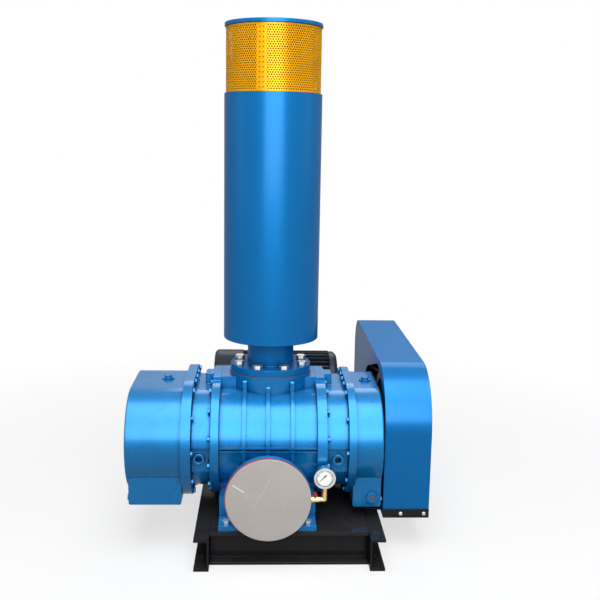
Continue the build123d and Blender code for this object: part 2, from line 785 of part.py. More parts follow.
def build_gauge():
    pipe_x = outlet_x + sqrt(pipe_r ** 2 - (outlet_z - brass_z) ** 2)
    body_x0, body_x1 = cock_x - cock_half, cock_x + cock_half
    nipple = cyl_x(gauge_y, brass_z, nipple_r - part_gap, pipe_x - 6, body_x0)
    nipple += cyl_x(gauge_y, brass_z, nipple_collar_r, pipe_x + 5, body_x0)
    body = cyl_x(gauge_y, brass_z, cock_r, body_x0, body_x1)
    body += cyl_z(cock_x, gauge_y, cock_neck_r, brass_z, brass_z + cock_neck_high)
    elbow = cyl_x(gauge_y, brass_z, riser_r, body_x1, gauge_x)
    elbow += Pos(gauge_x, gauge_y, brass_z) * Sphere(elbow_r)
    elbow += cyl_z(gauge_x, gauge_y, riser_r, brass_z, gauge_z - gauge_r)
    keep("gauge_pipe_fittings", nipple, elbow)
    keep("cock_body", body)
    seat_z = brass_z + cock_neck_high + part_gap
    lever = cyl_z(cock_x, gauge_y, cock_neck_r - 1, seat_z, seat_z + 5)
    tip_y = gauge_y - lever_reach
    lx0, lx1 = cock_x - lever_half, cock_x + lever_half
    lever += box(lx0, lx1, tip_y, gauge_y, seat_z + 1, seat_z + 5)
    lever += box(lx0, lx1, tip_y, tip_y + 5, seat_z + 1, seat_z + lever_tip_high)
    keep("cock_lever", lever)
    y0 = gauge_y - gauge_deep / 2
    y1 = gauge_y + gauge_deep / 2
    back = y1 - gauge_back
    seat_r = gauge_r - gauge_wall
    case = cyl_y(gauge_x, gauge_z, gauge_r, y0, y1)
    case -= cyl_y(gauge_x, gauge_z, seat_r, y0 - 1, back)
    case += cyl_z(gauge_x, gauge_y, riser_r - 2, gauge_z - gauge_r, gauge_z - seat_r)
    keep("gauge_case", case)
    dial = cyl_y(gauge_x, gauge_z, seat_r - part_gap, back - dial_thick, back)
    pin = cyl_y(gauge_x, gauge_z, needle_pin_r, back - dial_thick - 5, back - dial_thick)
    keep("gauge_dial", dial + pin)
    keep("gauge_lens", cyl_y(gauge_x, gauge_z, seat_r - part_gap, y0 + 1, y0 + 1 + glass_thick))
    ny = back - dial_thick - 3
    needle = cyl_y(gauge_x, gauge_z, needle_hub_r, ny - 1, ny + 1)
    tail = radians(45)
    plane = Plane((gauge_x, ny, gauge_z), x_dir=(cos(tail), 0, sin(tail)), z_dir=(0, -1, 0))
    needle += extrude(plane * (Pos(-needle_shift, 0) * Rectangle(needle_long, needle_wide)), 0.6, both=True)
    needle -= cyl_y(gauge_x, gauge_z, needle_pin_r + run_gap, ny - 5, ny + 5)
    keep("gauge_needle", needle)


# Silencer

def build_silencer():
    z = platform_z
    gasket = cyl_z(shell_x, pump_y, flange_r, z, z + inlet_gasket_thick)
    z1 = z + inlet_gasket_thick
    flange = cyl_z(shell_x, pump_y, flange_r, z1, z1 + inlet_flange_thick)
    bolts = []
    for i in range(flange_holes):
        a = radians(360 / flange_holes * (i + 0.5))
        x = shell_x + flange_pcd / 2 * cos(a)
        y = pump_y + flange_pcd / 2 * sin(a)
        gasket -= cyl_z(x, y, flange_hole_r, z - 1, z1 + 1)
        flange -= cyl_z(x, y, flange_hole_r, z1 - 1, z1 + inlet_flange_thick + 1)
        top = z1 + inlet_flange_thick
        bolts.append(bolt_z(x, y, top, *flange_head, flange_shank_r, top - z))
    bore = cyl_z(shell_x, pump_y, neck_pipe_r - neck_pipe_wall, z - 1, shell_z0 + 9)
    keep("joint_gaskets", gasket - bore, chest_gasket())
    keep("inlet_flange_bolts", bolts)
    neck = flange + cyl_z(shell_x, pump_y, neck_pipe_r, z1 + 1, shell_z0)
    keep("silencer_neck", neck - bore)
    shell = cyl_z(shell_x, pump_y, shell_r, shell_z0, shell_z1)
    shell -= cyl_z(shell_x, pump_y, shell_r - shell_wall, shell_z0 + shell_wall, shell_z1 - shell_wall)
    shell -= cyl_z(shell_x, pump_y, neck_pipe_r - neck_pipe_wall, shell_z0 - 1, shell_z0 + 9)
    shell -= cyl_z(shell_x, pump_y, core_r, shell_z1 - 9, shell_z1 + 1)
    keep("silencer_shell", shell)
    low, high = shell_z0 + shell_wall, shell_z1 - shell_wall
    core = cyl_z(shell_x, pump_y, core_r, low, high)
    core -= cyl_z(shell_x, pump_y, core_r - core_wall, low - 1, high + 1)
    keep("silencer_core_tube", core)
    lining = cyl_z(shell_x, pump_y, shell_r - shell_wall - part_gap, low + part_gap, high - part_gap)
    lining -= cyl_z(shell_x, pump_y, core_r + part_gap, low, high)
    keep("silencer_lining", lining)
    top = cap_z - cap_deep
    screen = cyl_z(shell_x, pump_y, screen_r, shell_z1, top)
    screen -= cyl_z(shell_x, pump_y, screen_r - screen_wall, shell_z1 - 1, top + 1)
    keep("filter_screen", screen)
    element = cyl_z(shell_x, pump_y, screen_r - filter_gap, shell_z1, top)
    element -= cyl_z(shell_x, pump_y, core_r + filter_core_gap, shell_z1 - 1, top + 1)
    keep("filter_element", element)
    cap = cyl_z(shell_x, pump_y, cap_r, top, cap_z)
    cap = fillet(cap.edges().sort_by(Axis.Z)[-1], cap_round)
    keep("silencer_cap", cap)


# Belt drive

def guard_outline(inset):
    """The guard's side outline, moved inwards by inset, as a closed face in the side plane."""
    y0, y1 = guard_front_y + inset, guard_back_y - inset
    z1 = guard_top_z - inset
    z0 = guard_bottom_z
    fr, br = guard_front_r - inset, guard_back_r - inset
    lines = [Line((y0, z0), (y0, z1 - fr)),
             RadiusArc((y0, z1 - fr), (y0 + fr, z1), fr),
             Line((y0 + fr, z1), (y1 - br, z1)),
             RadiusArc((y1 - br, z1), (y1, z1 - br), br),
             Line((y1, z1 - br), (y1, z0)),
             Line((y1, z0), (y0, z0))]
    return make_face(lines)


def guard_window(inset_x):
    """The opening round the pump's shaft: the outline round two circles, in the side plane."""
    ends = []
    for along, up, radius in (guard_window_front, guard_window_rear):
        ends += (Pos(back_rotor_y + along, rotor_axis_z + up) * Circle(radius)).edges()
    return side_plane(inset_x) * make_hull(ends)


def build_guard():
    outer = extrude(side_plane(guard_x0) * guard_outline(0), guard_x1 - guard_x0)
    inside = guard_width - guard_sheet + 1
    inner = extrude(side_plane(guard_x0 - 1) * guard_outline(guard_sheet), inside)
    bottom = box(guard_x0 - 1, guard_x1 - guard_sheet, guard_front_y + guard_sheet,
                 guard_back_y - guard_sheet, guard_bottom_z - 1, guard_bottom_z + 5)
    keep("belt_guard", outer - inner - bottom)
    panel = extrude(side_plane(guard_x0 + 1) * guard_outline(guard_sheet + part_gap), guard_sheet)
    panel -= extrude(guard_window(guard_x0 - 1), 3 * guard_sheet)
    panel -= cyl_x(motor_y, motor_z, guard_shaft_hole_r, guard_x0 - 1, guard_x0 + 3 * guard_sheet)
    keep("guard_back_panel", panel)
    y = guard_front_y
    face_y = y - guard_strip_thick
    strip = box(guard_x0 + 2, guard_x1, face_y, y, guard_bottom_z, guard_bottom_z + guard_strip_high)
    keep("guard_foot_strip", strip)
    bolts = []
    bolt_mid_z = guard_bottom_z + guard_strip_high / 2
    for x in (guard_x0 + guard_bolt_insets[0], guard_x1 - guard_bolt_insets[1]):
        head = cyl_y(x, bolt_mid_z, guard_bolt_r, face_y - guard_bolt_high, face_y)
        bolts.append(fillet(head.edges().sort_by(Axis.Y)[0], 3))
    keep("guard_bolts", bolts)
    brackets = []
    for place in bracket_places:
        y = back_rotor_y + place
        foot = box(web_x + 4, guard_x0, y - bracket_half, y + bracket_half, channel_height,
                   channel_height + bracket_sheet)
        leg = box(guard_x0 - bracket_sheet + 1, guard_x0 + 1, y - bracket_half, y + bracket_half,
                  channel_height, channel_height + bracket_high)
        brackets.append(foot + leg)
    keep("guard_brackets", brackets)


def belt_depth_cut(extra):
    """Half widths of a belt groove at the rim and at its foot."""
    top = belt_top_width / 2 + extra
    return top, top - (belt_high + extra) * tan(radians(belt_wedge))


def pulley(y, z, rim, bore):
    """A grooved pulley with a dished web and a hub."""
    x0 = pulley_x0
    x1 = pulley_x0 + pulley_width
    hub_r = bore + pulley_hub_wall
    inside = rim - belt_high - pulley_rim_wall
    near, far = x0 + pulley_dish, x1 - pulley_dish
    outline = [(x0, bore + run_gap), (x1, bore + run_gap), (x1, hub_r), (far, hub_r),
               (far, inside), (x1, inside), (x1, rim)]
    first = (x0 + x1) / 2 - belt_pitch * (belt_count - 1) / 2
    for i in reversed(range(belt_count)):
        c = first + i * belt_pitch
        top, low = belt_depth_cut(part_gap)
        deep = rim - belt_high - 2 * part_gap
        outline += [(c + top, rim), (c + low, deep), (c - low, deep), (c - top, rim)]
    outline += [(x0, rim), (x0, inside), (near, inside), (near, hub_r), (x0, hub_r)]
    face = make_face(Polyline(*outline, close=True))
    plane = Plane((0, y, z), x_dir=(1, 0, 0), z_dir=(0, -1, 0))
    return revolve(plane * face, Axis((0, y, z), (1, 0, 0)), 360)


def belt(c, rim_a, rim_b):
    """One belt of wedge section, swept round both pulleys, its centre plane at x = c."""
    dy, dz = motor_y - back_rotor_y, motor_z - rotor_axis_z
    span = sqrt(dy * dy + dz * dz)
    tilt = atan2(dz, dy)
    mid = belt_high / 2
    ra, rb = rim_a - mid, rim_b - mid
    lean = asin((ra - rb) / span)

    def on(end, r, a):
        y, z = (back_rotor_y, rotor_axis_z) if end == 0 else (motor_y, motor_z)
        return (c, y + r * cos(a), z + r * sin(a))

    high, low = tilt + pi / 2 - lean, tilt - pi / 2 + lean
    path = Wire([Line(on(0, ra, high), on(1, rb, high)),
                 ThreePointArc(on(1, rb, high), on(1, rb, tilt), on(1, rb, low)),
                 Line(on(1, rb, low), on(0, ra, low)),
                 ThreePointArc(on(0, ra, low), on(0, ra, tilt + pi), on(0, ra, high))])
    top, foot = belt_depth_cut(0)
    start = Vector(*on(0, ra, high))
    ahead = Vector(*on(1, rb, high)) - start
    plane = Plane(start, x_dir=(1, 0, 0), z_dir=ahead)
    section = make_face(Polyline((-top, -mid), (top, -mid), (foot, mid), (-foot, mid), close=True))
    return sweep(plane * section, path=path)


def build_belt_drive():
    keep("pump_pulley", pulley(back_rotor_y, rotor_axis_z, pump_pulley_r, drive_end_r))
    keep("motor_pulley", pulley(motor_y, motor_z, motor_pulley_r, motor_shaft_r))
    first = pulley_x0 + pulley_width / 2 - belt_pitch * (belt_count - 1) / 2
    places = [first + i * belt_pitch for i in range(belt_count)]
    keep("v_belts", [belt(x, pump_pulley_r, motor_pulley_r) for x in places])


# Motor

def motor_body(x0, x1):
    """The finned stator frame with its two feet, bored through."""
    body = cyl_x(motor_y, motor_z, motor_body_r, x0, x1)
    for i in range(motor_fins):
        a = 360 / motor_fins * (i + 0.5)
        if abs(a - 270) < fin_free_half:
            continue
        fin = box(x0, x1, fin_root_r, motor_fin_r, -fin_thick / 2, fin_thick / 2)
        body += Pos(0, motor_y, motor_z) * Rot(a, 0, 0) * fin
    fx0, fx1 = x0 + motor_foot_ends, x1 - motor_foot_ends
    for side in (-1, 1):
        outer = motor_foot_y + motor_foot_half
        y0, y1 = sorted((motor_y + side * motor_foot_inner, motor_y + side * outer))
        body += box(fx0, fx1, y0, y1, motor_foot_z, motor_foot_z + motor_foot_thick)
        y0, y1 = sorted((motor_y + side * motor_leg[0], motor_y + side * motor_leg[1]))
        body += box(fx0, fx1, y0, y1, motor_foot_z, motor_z - motor_leg_rise)
    body -= cyl_x(motor_y, motor_z, motor_body_r - motor_wall, x0 - 1, x1 + 1)
    for x, y in motor_foot_places():
        body -= cyl_z(x, y, motor_foot_hole_r, motor_foot_z - 1, motor_foot_z + motor_foot_thick + 1)
    return body


def motor_shield(x, way):
    """A bearing shield that closes one end of the frame."""
    end = x + way * motor_shield_thick
    shield = cyl_x(motor_y, motor_z, motor_fin_r - 3, *sorted((x, end)))
    shield = chamfer(shield.faces().sort_by(Axis.X)[0 if way < 0 else -1].edges(), shield_edge)
    shield -= cyl_x(motor_y, motor_z, motor_shaft_r + 3, min(x, end) - 1, max(x, end) + 1)
    seat = sorted((x - way, x + way * motor_bearing_wide))
    return shield - cyl_x(motor_y, motor_z, motor_bearing_r + part_gap, *seat)


def motor_cowl(x0):
    """The fan cowl: a thin cup with rings of air holes in its end."""
    inner_r = motor_fin_r + part_gap
    cowl = cyl_x(motor_y, motor_z, inner_r + cowl_sheet, motor_cowl_x0, x0 + cowl_lap)
    cowl = fillet(cowl.edges().sort_by(Axis.X)[0], cowl_edge)
    hollow = cyl_x(motor_y, motor_z, inner_r, motor_cowl_x0 + cowl_sheet, x0 + cowl_lap + 1)
    cowl -= fillet(hollow.edges().sort_by(Axis.X)[0], cowl_edge - cowl_sheet)
    for ring in range(3):
        r = cowl_first_ring + ring * cowl_ring_pitch
        holes = 10 + 6 * ring
        for i in range(holes):
            a = radians(360 / holes * i)
            cowl -= cyl_x(motor_y + r * cos(a), motor_z + r * sin(a), cowl_slot_r,
                          motor_cowl_x0 - 1, motor_cowl_x0 + 2 * cowl_sheet)
    return cowl


def cooling_fan():
    x0 = motor_cowl_x0 + fan_x
    x1 = x0 + fan_wide
    fan = cyl_x(motor_y, motor_z, fan_hub_r, x0, x1)
    fan += cyl_x(motor_y, motor_z, fan_r, x1 - fan_sheet, x1)
    for i in range(fan_blades):
        blade = box(x0, x1 - 1, fan_hub_r - 4, fan_r, -fan_sheet / 2, fan_sheet / 2)
        fan += Pos(0, motor_y, motor_z) * Rot(360 / fan_blades * i, 0, 0) * blade
    return fan - cyl_x(motor_y, motor_z, motor_shaft_r + run_gap, x0 - 1, x1 + 1)


def terminal_box():
    side = motor_y + motor_fin_r + 1
    case = box(box_x0, box_x1, side, side + box_deep, motor_z - box_half_high, motor_z + box_half_high)
    case = fillet(case.edges().filter_by(Axis.Y), box_round)
    case += box(box_x0 + 10, box_x1 - 10, side - box_neck, side + 1, motor_z - box_half_high + 10,
                motor_z + box_half_high - 10)
    return case - cyl_x(motor_y, motor_z, motor_fin_r + part_gap, box_x0 - 1, box_x1 + 1)


def build_motor():
    x0, x1 = motor_body_x0, motor_body_x1
    ends = ((x0, -1), (x1, 1))
    keep("motor_frame", motor_body(x0, x1))
    keep("motor_end_shields", [motor_shield(x, way) for x, way in ends])
    bearings = []
    for x, way in ends:
        a, b = sorted((x + way * 0.5, x + way * (motor_bearing_wide - 0.5)))
        ring = cyl_x(motor_y, motor_z, motor_bearing_r, a, b)
        bearings.append(ring - cyl_x(motor_y, motor_z, motor_shaft_r + run_gap, a - 1, b + 1))
    keep("motor_bearings", bearings)
    core_x0, core_x1 = x0 + stator_inset, x1 - stator_inset
    stator = cyl_x(motor_y, motor_z, motor_body_r - motor_wall - part_gap, core_x0, core_x1)
    keep("motor_stator", stator - cyl_x(motor_y, motor_z, stator_bore_r, core_x0 - 1, core_x1 + 1))
    shaft_end = pulley_x0 + pulley_width - shaft_end_gap
    shaft = cyl_x(motor_y, motor_z, motor_shaft_r, motor_cowl_x0 + fan_x - 4, shaft_end)
    shaft += cyl_x(motor_y, motor_z, stator_bore_r - armature_gap, core_x0, core_x1)
    keep("motor_rotor_shaft", shaft)
    keep("motor_fan_cowl", motor_cowl(x0))
    keep("motor_fan", cooling_fan())
    keep("motor_terminal_box", terminal_box())
    rails = []
    for x in (x0 + motor_foot_x, x1 - motor_foot_x):
        y0, y1 = motor_beam_y, half_d - cross_set_back - 4
        rail = box(x - rail_half, x + rail_half, y0, y1, channel_height, channel_height + rail_high)
        rail -= box(x - rail_slot_half, x + rail_slot_half, y0 + rail_slot_end, y1 - rail_slot_end,
                    channel_height + rail_floor, channel_height + rail_high + 1)
        rails.append(rail)
    keep("motor_slide_rails", rails)


def motor_foot_places():
    xs = (motor_body_x0 + motor_foot_x, motor_body_x1 - motor_foot_x)
    return [(x, motor_y + side * motor_foot_y) for x in xs for side in (-1, 1)]


build_frame()
build_rotors()
build_casing()
build_plates()
build_covers()
build_pump_bolts()
build_chest()
build_foot_bolts()
build_gauge()
build_silencer()
build_guard()
build_belt_drive()
build_motor()

os.makedirs("parts", exist_ok=True)
for node, shape in parts.items():
    export_step(shape, f"parts/{node}.step")
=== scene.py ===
"""Looks of a belt-driven Roots vacuum pump, laid out as an add-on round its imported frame.

Metres. X runs along the rotor shafts to the belt guard, Y runs away from the outlet, Z is up.
"""

import json
from math import cos, pi, radians, sin

import bpy
from mathutils import Matrix, Vector


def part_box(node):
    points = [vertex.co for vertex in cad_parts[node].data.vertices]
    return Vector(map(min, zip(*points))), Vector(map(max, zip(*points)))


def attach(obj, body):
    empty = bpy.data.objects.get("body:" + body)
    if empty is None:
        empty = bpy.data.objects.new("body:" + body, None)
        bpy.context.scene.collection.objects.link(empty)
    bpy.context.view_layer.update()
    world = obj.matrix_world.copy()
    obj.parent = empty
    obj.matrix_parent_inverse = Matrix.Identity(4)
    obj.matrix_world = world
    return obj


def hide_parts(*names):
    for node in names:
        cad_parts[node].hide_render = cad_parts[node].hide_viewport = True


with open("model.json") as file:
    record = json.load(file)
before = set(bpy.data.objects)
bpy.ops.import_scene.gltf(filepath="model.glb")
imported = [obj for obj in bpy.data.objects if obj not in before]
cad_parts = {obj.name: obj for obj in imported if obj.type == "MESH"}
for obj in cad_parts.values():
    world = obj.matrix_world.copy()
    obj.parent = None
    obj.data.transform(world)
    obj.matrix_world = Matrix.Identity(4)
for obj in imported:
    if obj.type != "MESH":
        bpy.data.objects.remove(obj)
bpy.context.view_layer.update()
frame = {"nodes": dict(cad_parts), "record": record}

bl_info = {
    "name": "Roots vacuum pump",
    "version": (1, 0, 0),
    "blender": (4, 5, 0),
    "location": "3D View > Sidebar > Pump",
    "description": "Builds the finished pieces of a belt-driven Roots vacuum pump",
    "category": "Object",
}

MM = 0.001

# The turn that makes a new primitive's own Z face the front
FORWARD = (pi / 2, 0, 0)

# Sides of the large round pieces
ROUND = 160


# Properties that a user would change

def colour(label, note, value):
    return bpy.props.FloatVectorProperty(
        name=label, description=note, default=value, subtype="COLOR", size=3, min=0.0, max=1.0)


def length(label, note, value):
    return bpy.props.FloatProperty(name=label, description=note, default=value, unit="LENGTH", min=0.0)


def share(label, note, value):
    return bpy.props.FloatProperty(
        name=label, description=note, default=value, subtype="FACTOR", min=0.0, max=1.0)


def turn(label, note, value):
    return bpy.props.FloatProperty(name=label, description=note, default=radians(value), subtype="ANGLE")


def plain(label, note, value):
    return bpy.props.FloatProperty(name=label, description=note, default=value)


class PumpFinish(bpy.types.PropertyGroup):
    """Colours and ageing of the finishes."""

    cast_blue: colour("Cast blue", "Enamel on the cast pump parts", (0.004, 0.18, 0.46))
    sheet_blue: colour("Sheet blue", "Enamel on the guard and the silencer", (0.004, 0.165, 0.46))
    screen_yellow: colour("Screen yellow", "Enamel on the perforated screen", (0.98, 0.44, 0.007))
    base_black: colour("Base black", "Enamel on the channel base", (0.018, 0.018, 0.02))
    motor_grey: colour("Motor grey", "Enamel on the motor", (0.042, 0.056, 0.076))
    disc_grey: colour("Disc grey", "Sheet that covers the outlet", (0.5, 0.46, 0.43))
    dust: share("Dust", "How much dust has settled on faces that look up", 0.05)
    wear: share("Edge wear", "How much paint is rubbed off the edges", 0.08)


class PumpDetails(bpy.types.PropertyGroup):
    """Sizes of the details that the solids leave plain."""

    cast_edge: length("Cast edge", "Rounding of the cast parts' edges", 3.0 * MM)
    sheet_edge: length("Sheet edge", "Rounding of bent sheet", 2.2 * MM)
    bolt_edge: length("Bolt edge", "Chamfer of the bolt heads", 1.1 * MM)
    hole_pitch: length("Hole pitch", "Spacing of the screen's holes round the screen", 8.4 * MM)
    row_pitch: length("Row pitch", "Spacing of the rows of holes", 7.2 * MM)
    hole: length("Hole", "Width of a hole in the screen", 5.4 * MM)
    seam_width: length("Seam width", "Width of the screen's closing strip", 25.0 * MM)
    weld: length("Weld", "Radius of a weld bead", 3.0 * MM)


class PumpStage(bpy.types.PropertyGroup):
    """Camera and light."""

    camera: bpy.props.FloatVectorProperty(
        name="Camera", description="Where the camera stands", subtype="TRANSLATION",
        default=(-0.096, -3.3545, 1.3954))
    pitch: turn("Pitch", "How far the camera looks down", 10.26)
    yaw: turn("Yaw", "How far the camera looks to the right", 2.44)
    roll: turn("Roll", "How far the camera leans", 0.96)
    focal: plain("Focal length", "Focal length on a 36 mm sensor, in millimetres", 53.26)
    key: plain("Key", "Power of the front light, in watts", 120.0)
    top: plain("Top", "Power of the top light, in watts", 170.0)
    sheen: plain("Sheen", "How many times brighter the two big lights look in a reflection", 7.0)
    fill: plain("Fill", "Strength of the room light", 0.07)


def finish():
    return bpy.context.scene.pump_finish


def details():
    return bpy.context.scene.pump_details


# Hands: adding, selecting, editing and settling a piece

def only(piece):
    """Make this piece the one selected and active object."""
    bpy.ops.object.select_all(action="DESELECT")
    piece.select_set(True)
    bpy.context.view_layer.objects.active = piece


def fresh(add, **settings):
    """A new object, made by one of Blender's own add operators."""
    bpy.ops.object.select_all(action="DESELECT")
    add(**settings)
    return bpy.context.active_object


def joined(pieces):
    """Join the pieces into the first of them."""
    only(pieces[0])
    for piece in pieces:
        piece.select_set(True)
    bpy.ops.object.join()
    return pieces[0]


def open_edit(piece, mode="FACE", pick="DESELECT"):
    """Enter edit mode with nothing selected, or with all of the piece."""
    only(piece)
    bpy.ops.object.mode_set(mode="EDIT")
    bpy.ops.mesh.select_mode(type=mode)
    bpy.ops.mesh.select_all(action=pick)


def close_edit():
    bpy.ops.object.mode_set(mode="OBJECT")


def pick_faces(piece, test):
    """Select the faces whose centre and normal pass the test; used inside edit mode."""
    bpy.ops.object.mode_set(mode="OBJECT")
    for face in piece.data.polygons:
        face.select = test(face.center, face.normal)
    bpy.ops.object.mode_set(mode="EDIT")


def apply_modifiers(piece):
    only(piece)
    for modifier in list(piece.modifiers):
        bpy.ops.object.modifier_apply(modifier=modifier.name)


def bevelled(piece, width, segments=2, angle=35):
    bevel = piece.modifiers.new("edge", "BEVEL")
    bevel.width = width
    bevel.segments = segments
    bevel.limit_method = "ANGLE"
    bevel.angle_limit = radians(angle)
    bevel.miter_outer = "MITER_ARC"
    apply_modifiers(piece)


def thickened(piece, thickness, offset=0.0):
    """Give a sheet its thickness."""
    wall = piece.modifiers.new("wall", "SOLIDIFY")
    wall.thickness = thickness
    wall.offset = offset
    apply_modifiers(piece)


def repeated(piece, step, count, gap):
    """Repeat a piece along a step and merge its copies where they come within the gap."""
    array = piece.modifiers.new("repeat", "ARRAY")
    array.use_relative_offset = False
    array.use_constant_offset = True
    array.constant_offset_displace = step
    array.count = count
    array.use_merge_vertices = True
    array.merge_threshold = gap
    apply_modifiers(piece)


def settle(piece, name, slot, body="root", smooth=38, node=None):
    """Name, place, shade and hang a finished piece on its body."""
    only(piece)
    bpy.ops.object.transform_apply()
    bpy.ops.object.shade_smooth_by_angle(angle=radians(smooth))
    even = piece.modifiers.new("even_normals", "WEIGHTED_NORMAL")
    even.weight = 90
    even.keep_sharp = True
    apply_modifiers(piece)
    piece.name = name
    piece.data.name = name
    piece.data.materials.clear()
    piece.data.materials.append(material(slot))
    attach(piece, body)
    if node:
        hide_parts(node)
    return piece


def body_of_node(node):
    groups = frame["record"]["behaviour"]["bodies"]
    return next(body for body, nodes in groups.items() if node in nodes)


def slot_of_node(node):
    return next(row["material_slot"] for row in frame["record"]["subparts"] if row["node"] == node)


def dressed(node, width, segments=2, angle=35, smooth=38):
    """A finished copy of a CAD node: its triangles joined, its edges rounded, its faces smooth."""
    piece = bpy.data.objects.new(node + "_finished", frame["nodes"][node].data.copy())
    bpy.context.scene.collection.objects.link(piece)
    open_edit(piece, "VERT", "SELECT")
    bpy.ops.mesh.remove_doubles(threshold=0.02 * MM)
    bpy.ops.mesh.dissolve_limited(angle_limit=radians(0.6))
    bpy.ops.mesh.normals_make_consistent(inside=False)
    close_edit()
    if width:
        bevelled(piece, width, segments, angle)
    return settle(piece, node + "_finished", slot_of_node(node), body_of_node(node), smooth, node)


# Shader groups shared by the finishes

def node_group(name, inputs, outputs):
    """A shader node group with named sockets; returns it with its input and output nodes."""
    group = bpy.data.node_groups.new(name, "ShaderNodeTree")
    for label, kind, value in inputs:
        socket = group.interface.new_socket(name=label, in_out="INPUT", socket_type="NodeSocket" + kind)
        socket.default_value = value
    for label, kind in outputs:
        group.interface.new_socket(name=label, in_out="OUTPUT", socket_type="NodeSocket" + kind)
    start = group.nodes.new("NodeGroupInput")
    end = group.nodes.new("NodeGroupOutput")
    return group, start, end


def wire(tree, out, into):
    tree.links.new(out, into)


def feed(tree, value, into):
    """Wire a node's output to a socket, or set the socket to a number, vector or colour."""
    if isinstance(value, bpy.types.NodeSocket):
        wire(tree, value, into)
    elif into.type == "RGBA":
        into.default_value = (*value, 1.0)
    else:
        into.default_value = value


def noise(tree, scale, detail, rough, vector):
    node = tree.nodes.new("ShaderNodeTexNoise")
    for label, value in (("Scale", scale), ("Detail", detail), ("Roughness", rough), ("Vector", vector)):
        feed(tree, value, node.inputs[label])
    return node.outputs["Fac"]


def remap(tree, value, low, high, to_low, to_high):
    node = tree.nodes.new("ShaderNodeMapRange")
    labels = ("Value", "From Min", "From Max", "To Min", "To Max")
    for label, number in zip(labels, (value, low, high, to_low, to_high)):
        feed(tree, number, node.inputs[label])
    return node.outputs["Result"]


def maths(tree, kind, a, b=0.0):
    node = tree.nodes.new("ShaderNodeMath")
    node.operation = kind
    feed(tree, a, node.inputs[0])
    feed(tree, b, node.inputs[1])
    return node.outputs["Value"]


def vector_maths(tree, kind, a, b=(0.0, 0.0, 0.0)):
    """A vector operation's node; a dot product or a length comes out at its Value."""
    node = tree.nodes.new("ShaderNodeVectorMath")
    node.operation = kind
    feed(tree, a, node.inputs[0])
    feed(tree, b, node.inputs[1])
    return node


def mix_colour(tree, factor, a, b):
    node = tree.nodes.new("ShaderNodeMix")
    node.data_type = "RGBA"
    sockets = [socket for socket in node.inputs if socket.enabled]
    for socket, value in zip(sockets, (factor, a, b)):
        feed(tree, value, socket)
    return next(socket for socket in node.outputs if socket.enabled)


def object_coords(tree):
    return tree.nodes.new("ShaderNodeTexCoord").outputs["Object"]


def group_enamel():
    """Brushed or sprayed enamel: slow tone drift, orange peel and a roughness that wanders."""
    group, start, end = node_group(
        "enamel",
        (("Colour", "Color", (0.5, 0.5, 0.5, 1)), ("Drift", "Float", 0.12),
         ("Drift Scale", "Float", 5.0), ("Peel Scale", "Float", 260.0),
         ("Low Roughness", "Float", 0.25), ("High Roughness", "Float", 0.4)),
        (("Colour", "Color"), ("Roughness", "Float"), ("Height", "Float")))
    place = object_coords(group)
    slow = noise(group, start.outputs["Drift Scale"], 4.0, 0.6, place)
    dark = mix_colour(group, start.outputs["Drift"], start.outputs["Colour"], (0.0, 0.0, 0.0))
    tone = mix_colour(group, remap(group, slow, 0.35, 0.65, 0.0, 1.0), dark, start.outputs["Colour"])
    peel = noise(group, start.outputs["Peel Scale"], 2.0, 0.5, place)
    wander = noise(group, 18.0, 3.0, 0.6, place)
    rough = remap(group, wander, 0.35, 0.65,
                  start.outputs["Low Roughness"], start.outputs["High Roughness"])
    wire(group, tone, end.inputs["Colour"])
    wire(group, rough, end.inputs["Roughness"])
    wire(group, peel, end.inputs["Height"])
    return group


def group_cast_grain():
    """The grain of a sand casting under its paint: pits and lumps of two sizes."""
    group, start, end = node_group(
        "cast_grain",
        (("Scale", "Float", 120.0), ("Lumps", "Float", 0.5)),
        (("Height", "Float"),))
    place = object_coords(group)
    fine = noise(group, start.outputs["Scale"], 5.0, 0.7, place)
    lumps = noise(group, 22.0, 2.0, 0.5, place)
    both = maths(group, "ADD", fine, maths(group, "MULTIPLY", lumps, start.outputs["Lumps"]))
    wire(group, both, end.inputs["Height"])
    return group


def group_edge_wear():
    """A mask that is high on worn outer edges, broken up by noise."""
    group, start, end = node_group(
        "edge_wear",
        (("Radius", "Float", 0.0025), ("Amount", "Float", 0.3), ("Scale", "Float", 60.0)),
        (("Mask", "Float"),))
    geometry = group.nodes.new("ShaderNodeNewGeometry")
    bevel = group.nodes.new("ShaderNodeBevel")
    bevel.samples = 4
    wire(group, start.outputs["Radius"], bevel.inputs["Radius"])
    dot = vector_maths(group, "DOT_PRODUCT", geometry.outputs["Normal"], bevel.outputs["Normal"])
    edge = remap(group, dot.outputs["Value"], 0.995, 0.93, 0.0, 1.0)
    break_up = noise(group, start.outputs["Scale"], 4.0, 0.7, object_coords(group))
    limit = maths(group, "SUBTRACT", 0.72, start.outputs["Amount"])
    spots = remap(group, break_up, limit, maths(group, "ADD", limit, 0.06), 0.0, 1.0)
    wire(group, maths(group, "MULTIPLY", edge, spots), end.inputs["Mask"])
    return group


def group_settled_dust():
    """A mask of dust that lies on faces that look up and thins out with noise."""
    group, start, end = node_group(
        "settled_dust",
        (("Amount", "Float", 0.3), ("Scale", "Float", 14.0)),
        (("Mask", "Float"),))
    geometry = group.nodes.new("ShaderNodeNewGeometry")
    split = group.nodes.new("ShaderNodeSeparateXYZ")
    wire(group, geometry.outputs["Normal"], split.inputs["Vector"])
    up = remap(group, split.outputs["Z"], 0.45, 1.0, 0.0, 1.0)
    patch = remap(group, noise(group, start.outputs["Scale"], 6.0, 0.65, object_coords(group)),
                  0.3, 0.75, 0.2, 1.0)
    amount = maths(group, "MULTIPLY", maths(group, "MULTIPLY", up, patch), start.outputs["Amount"])
    wire(group, amount, end.inputs["Mask"])
    return group


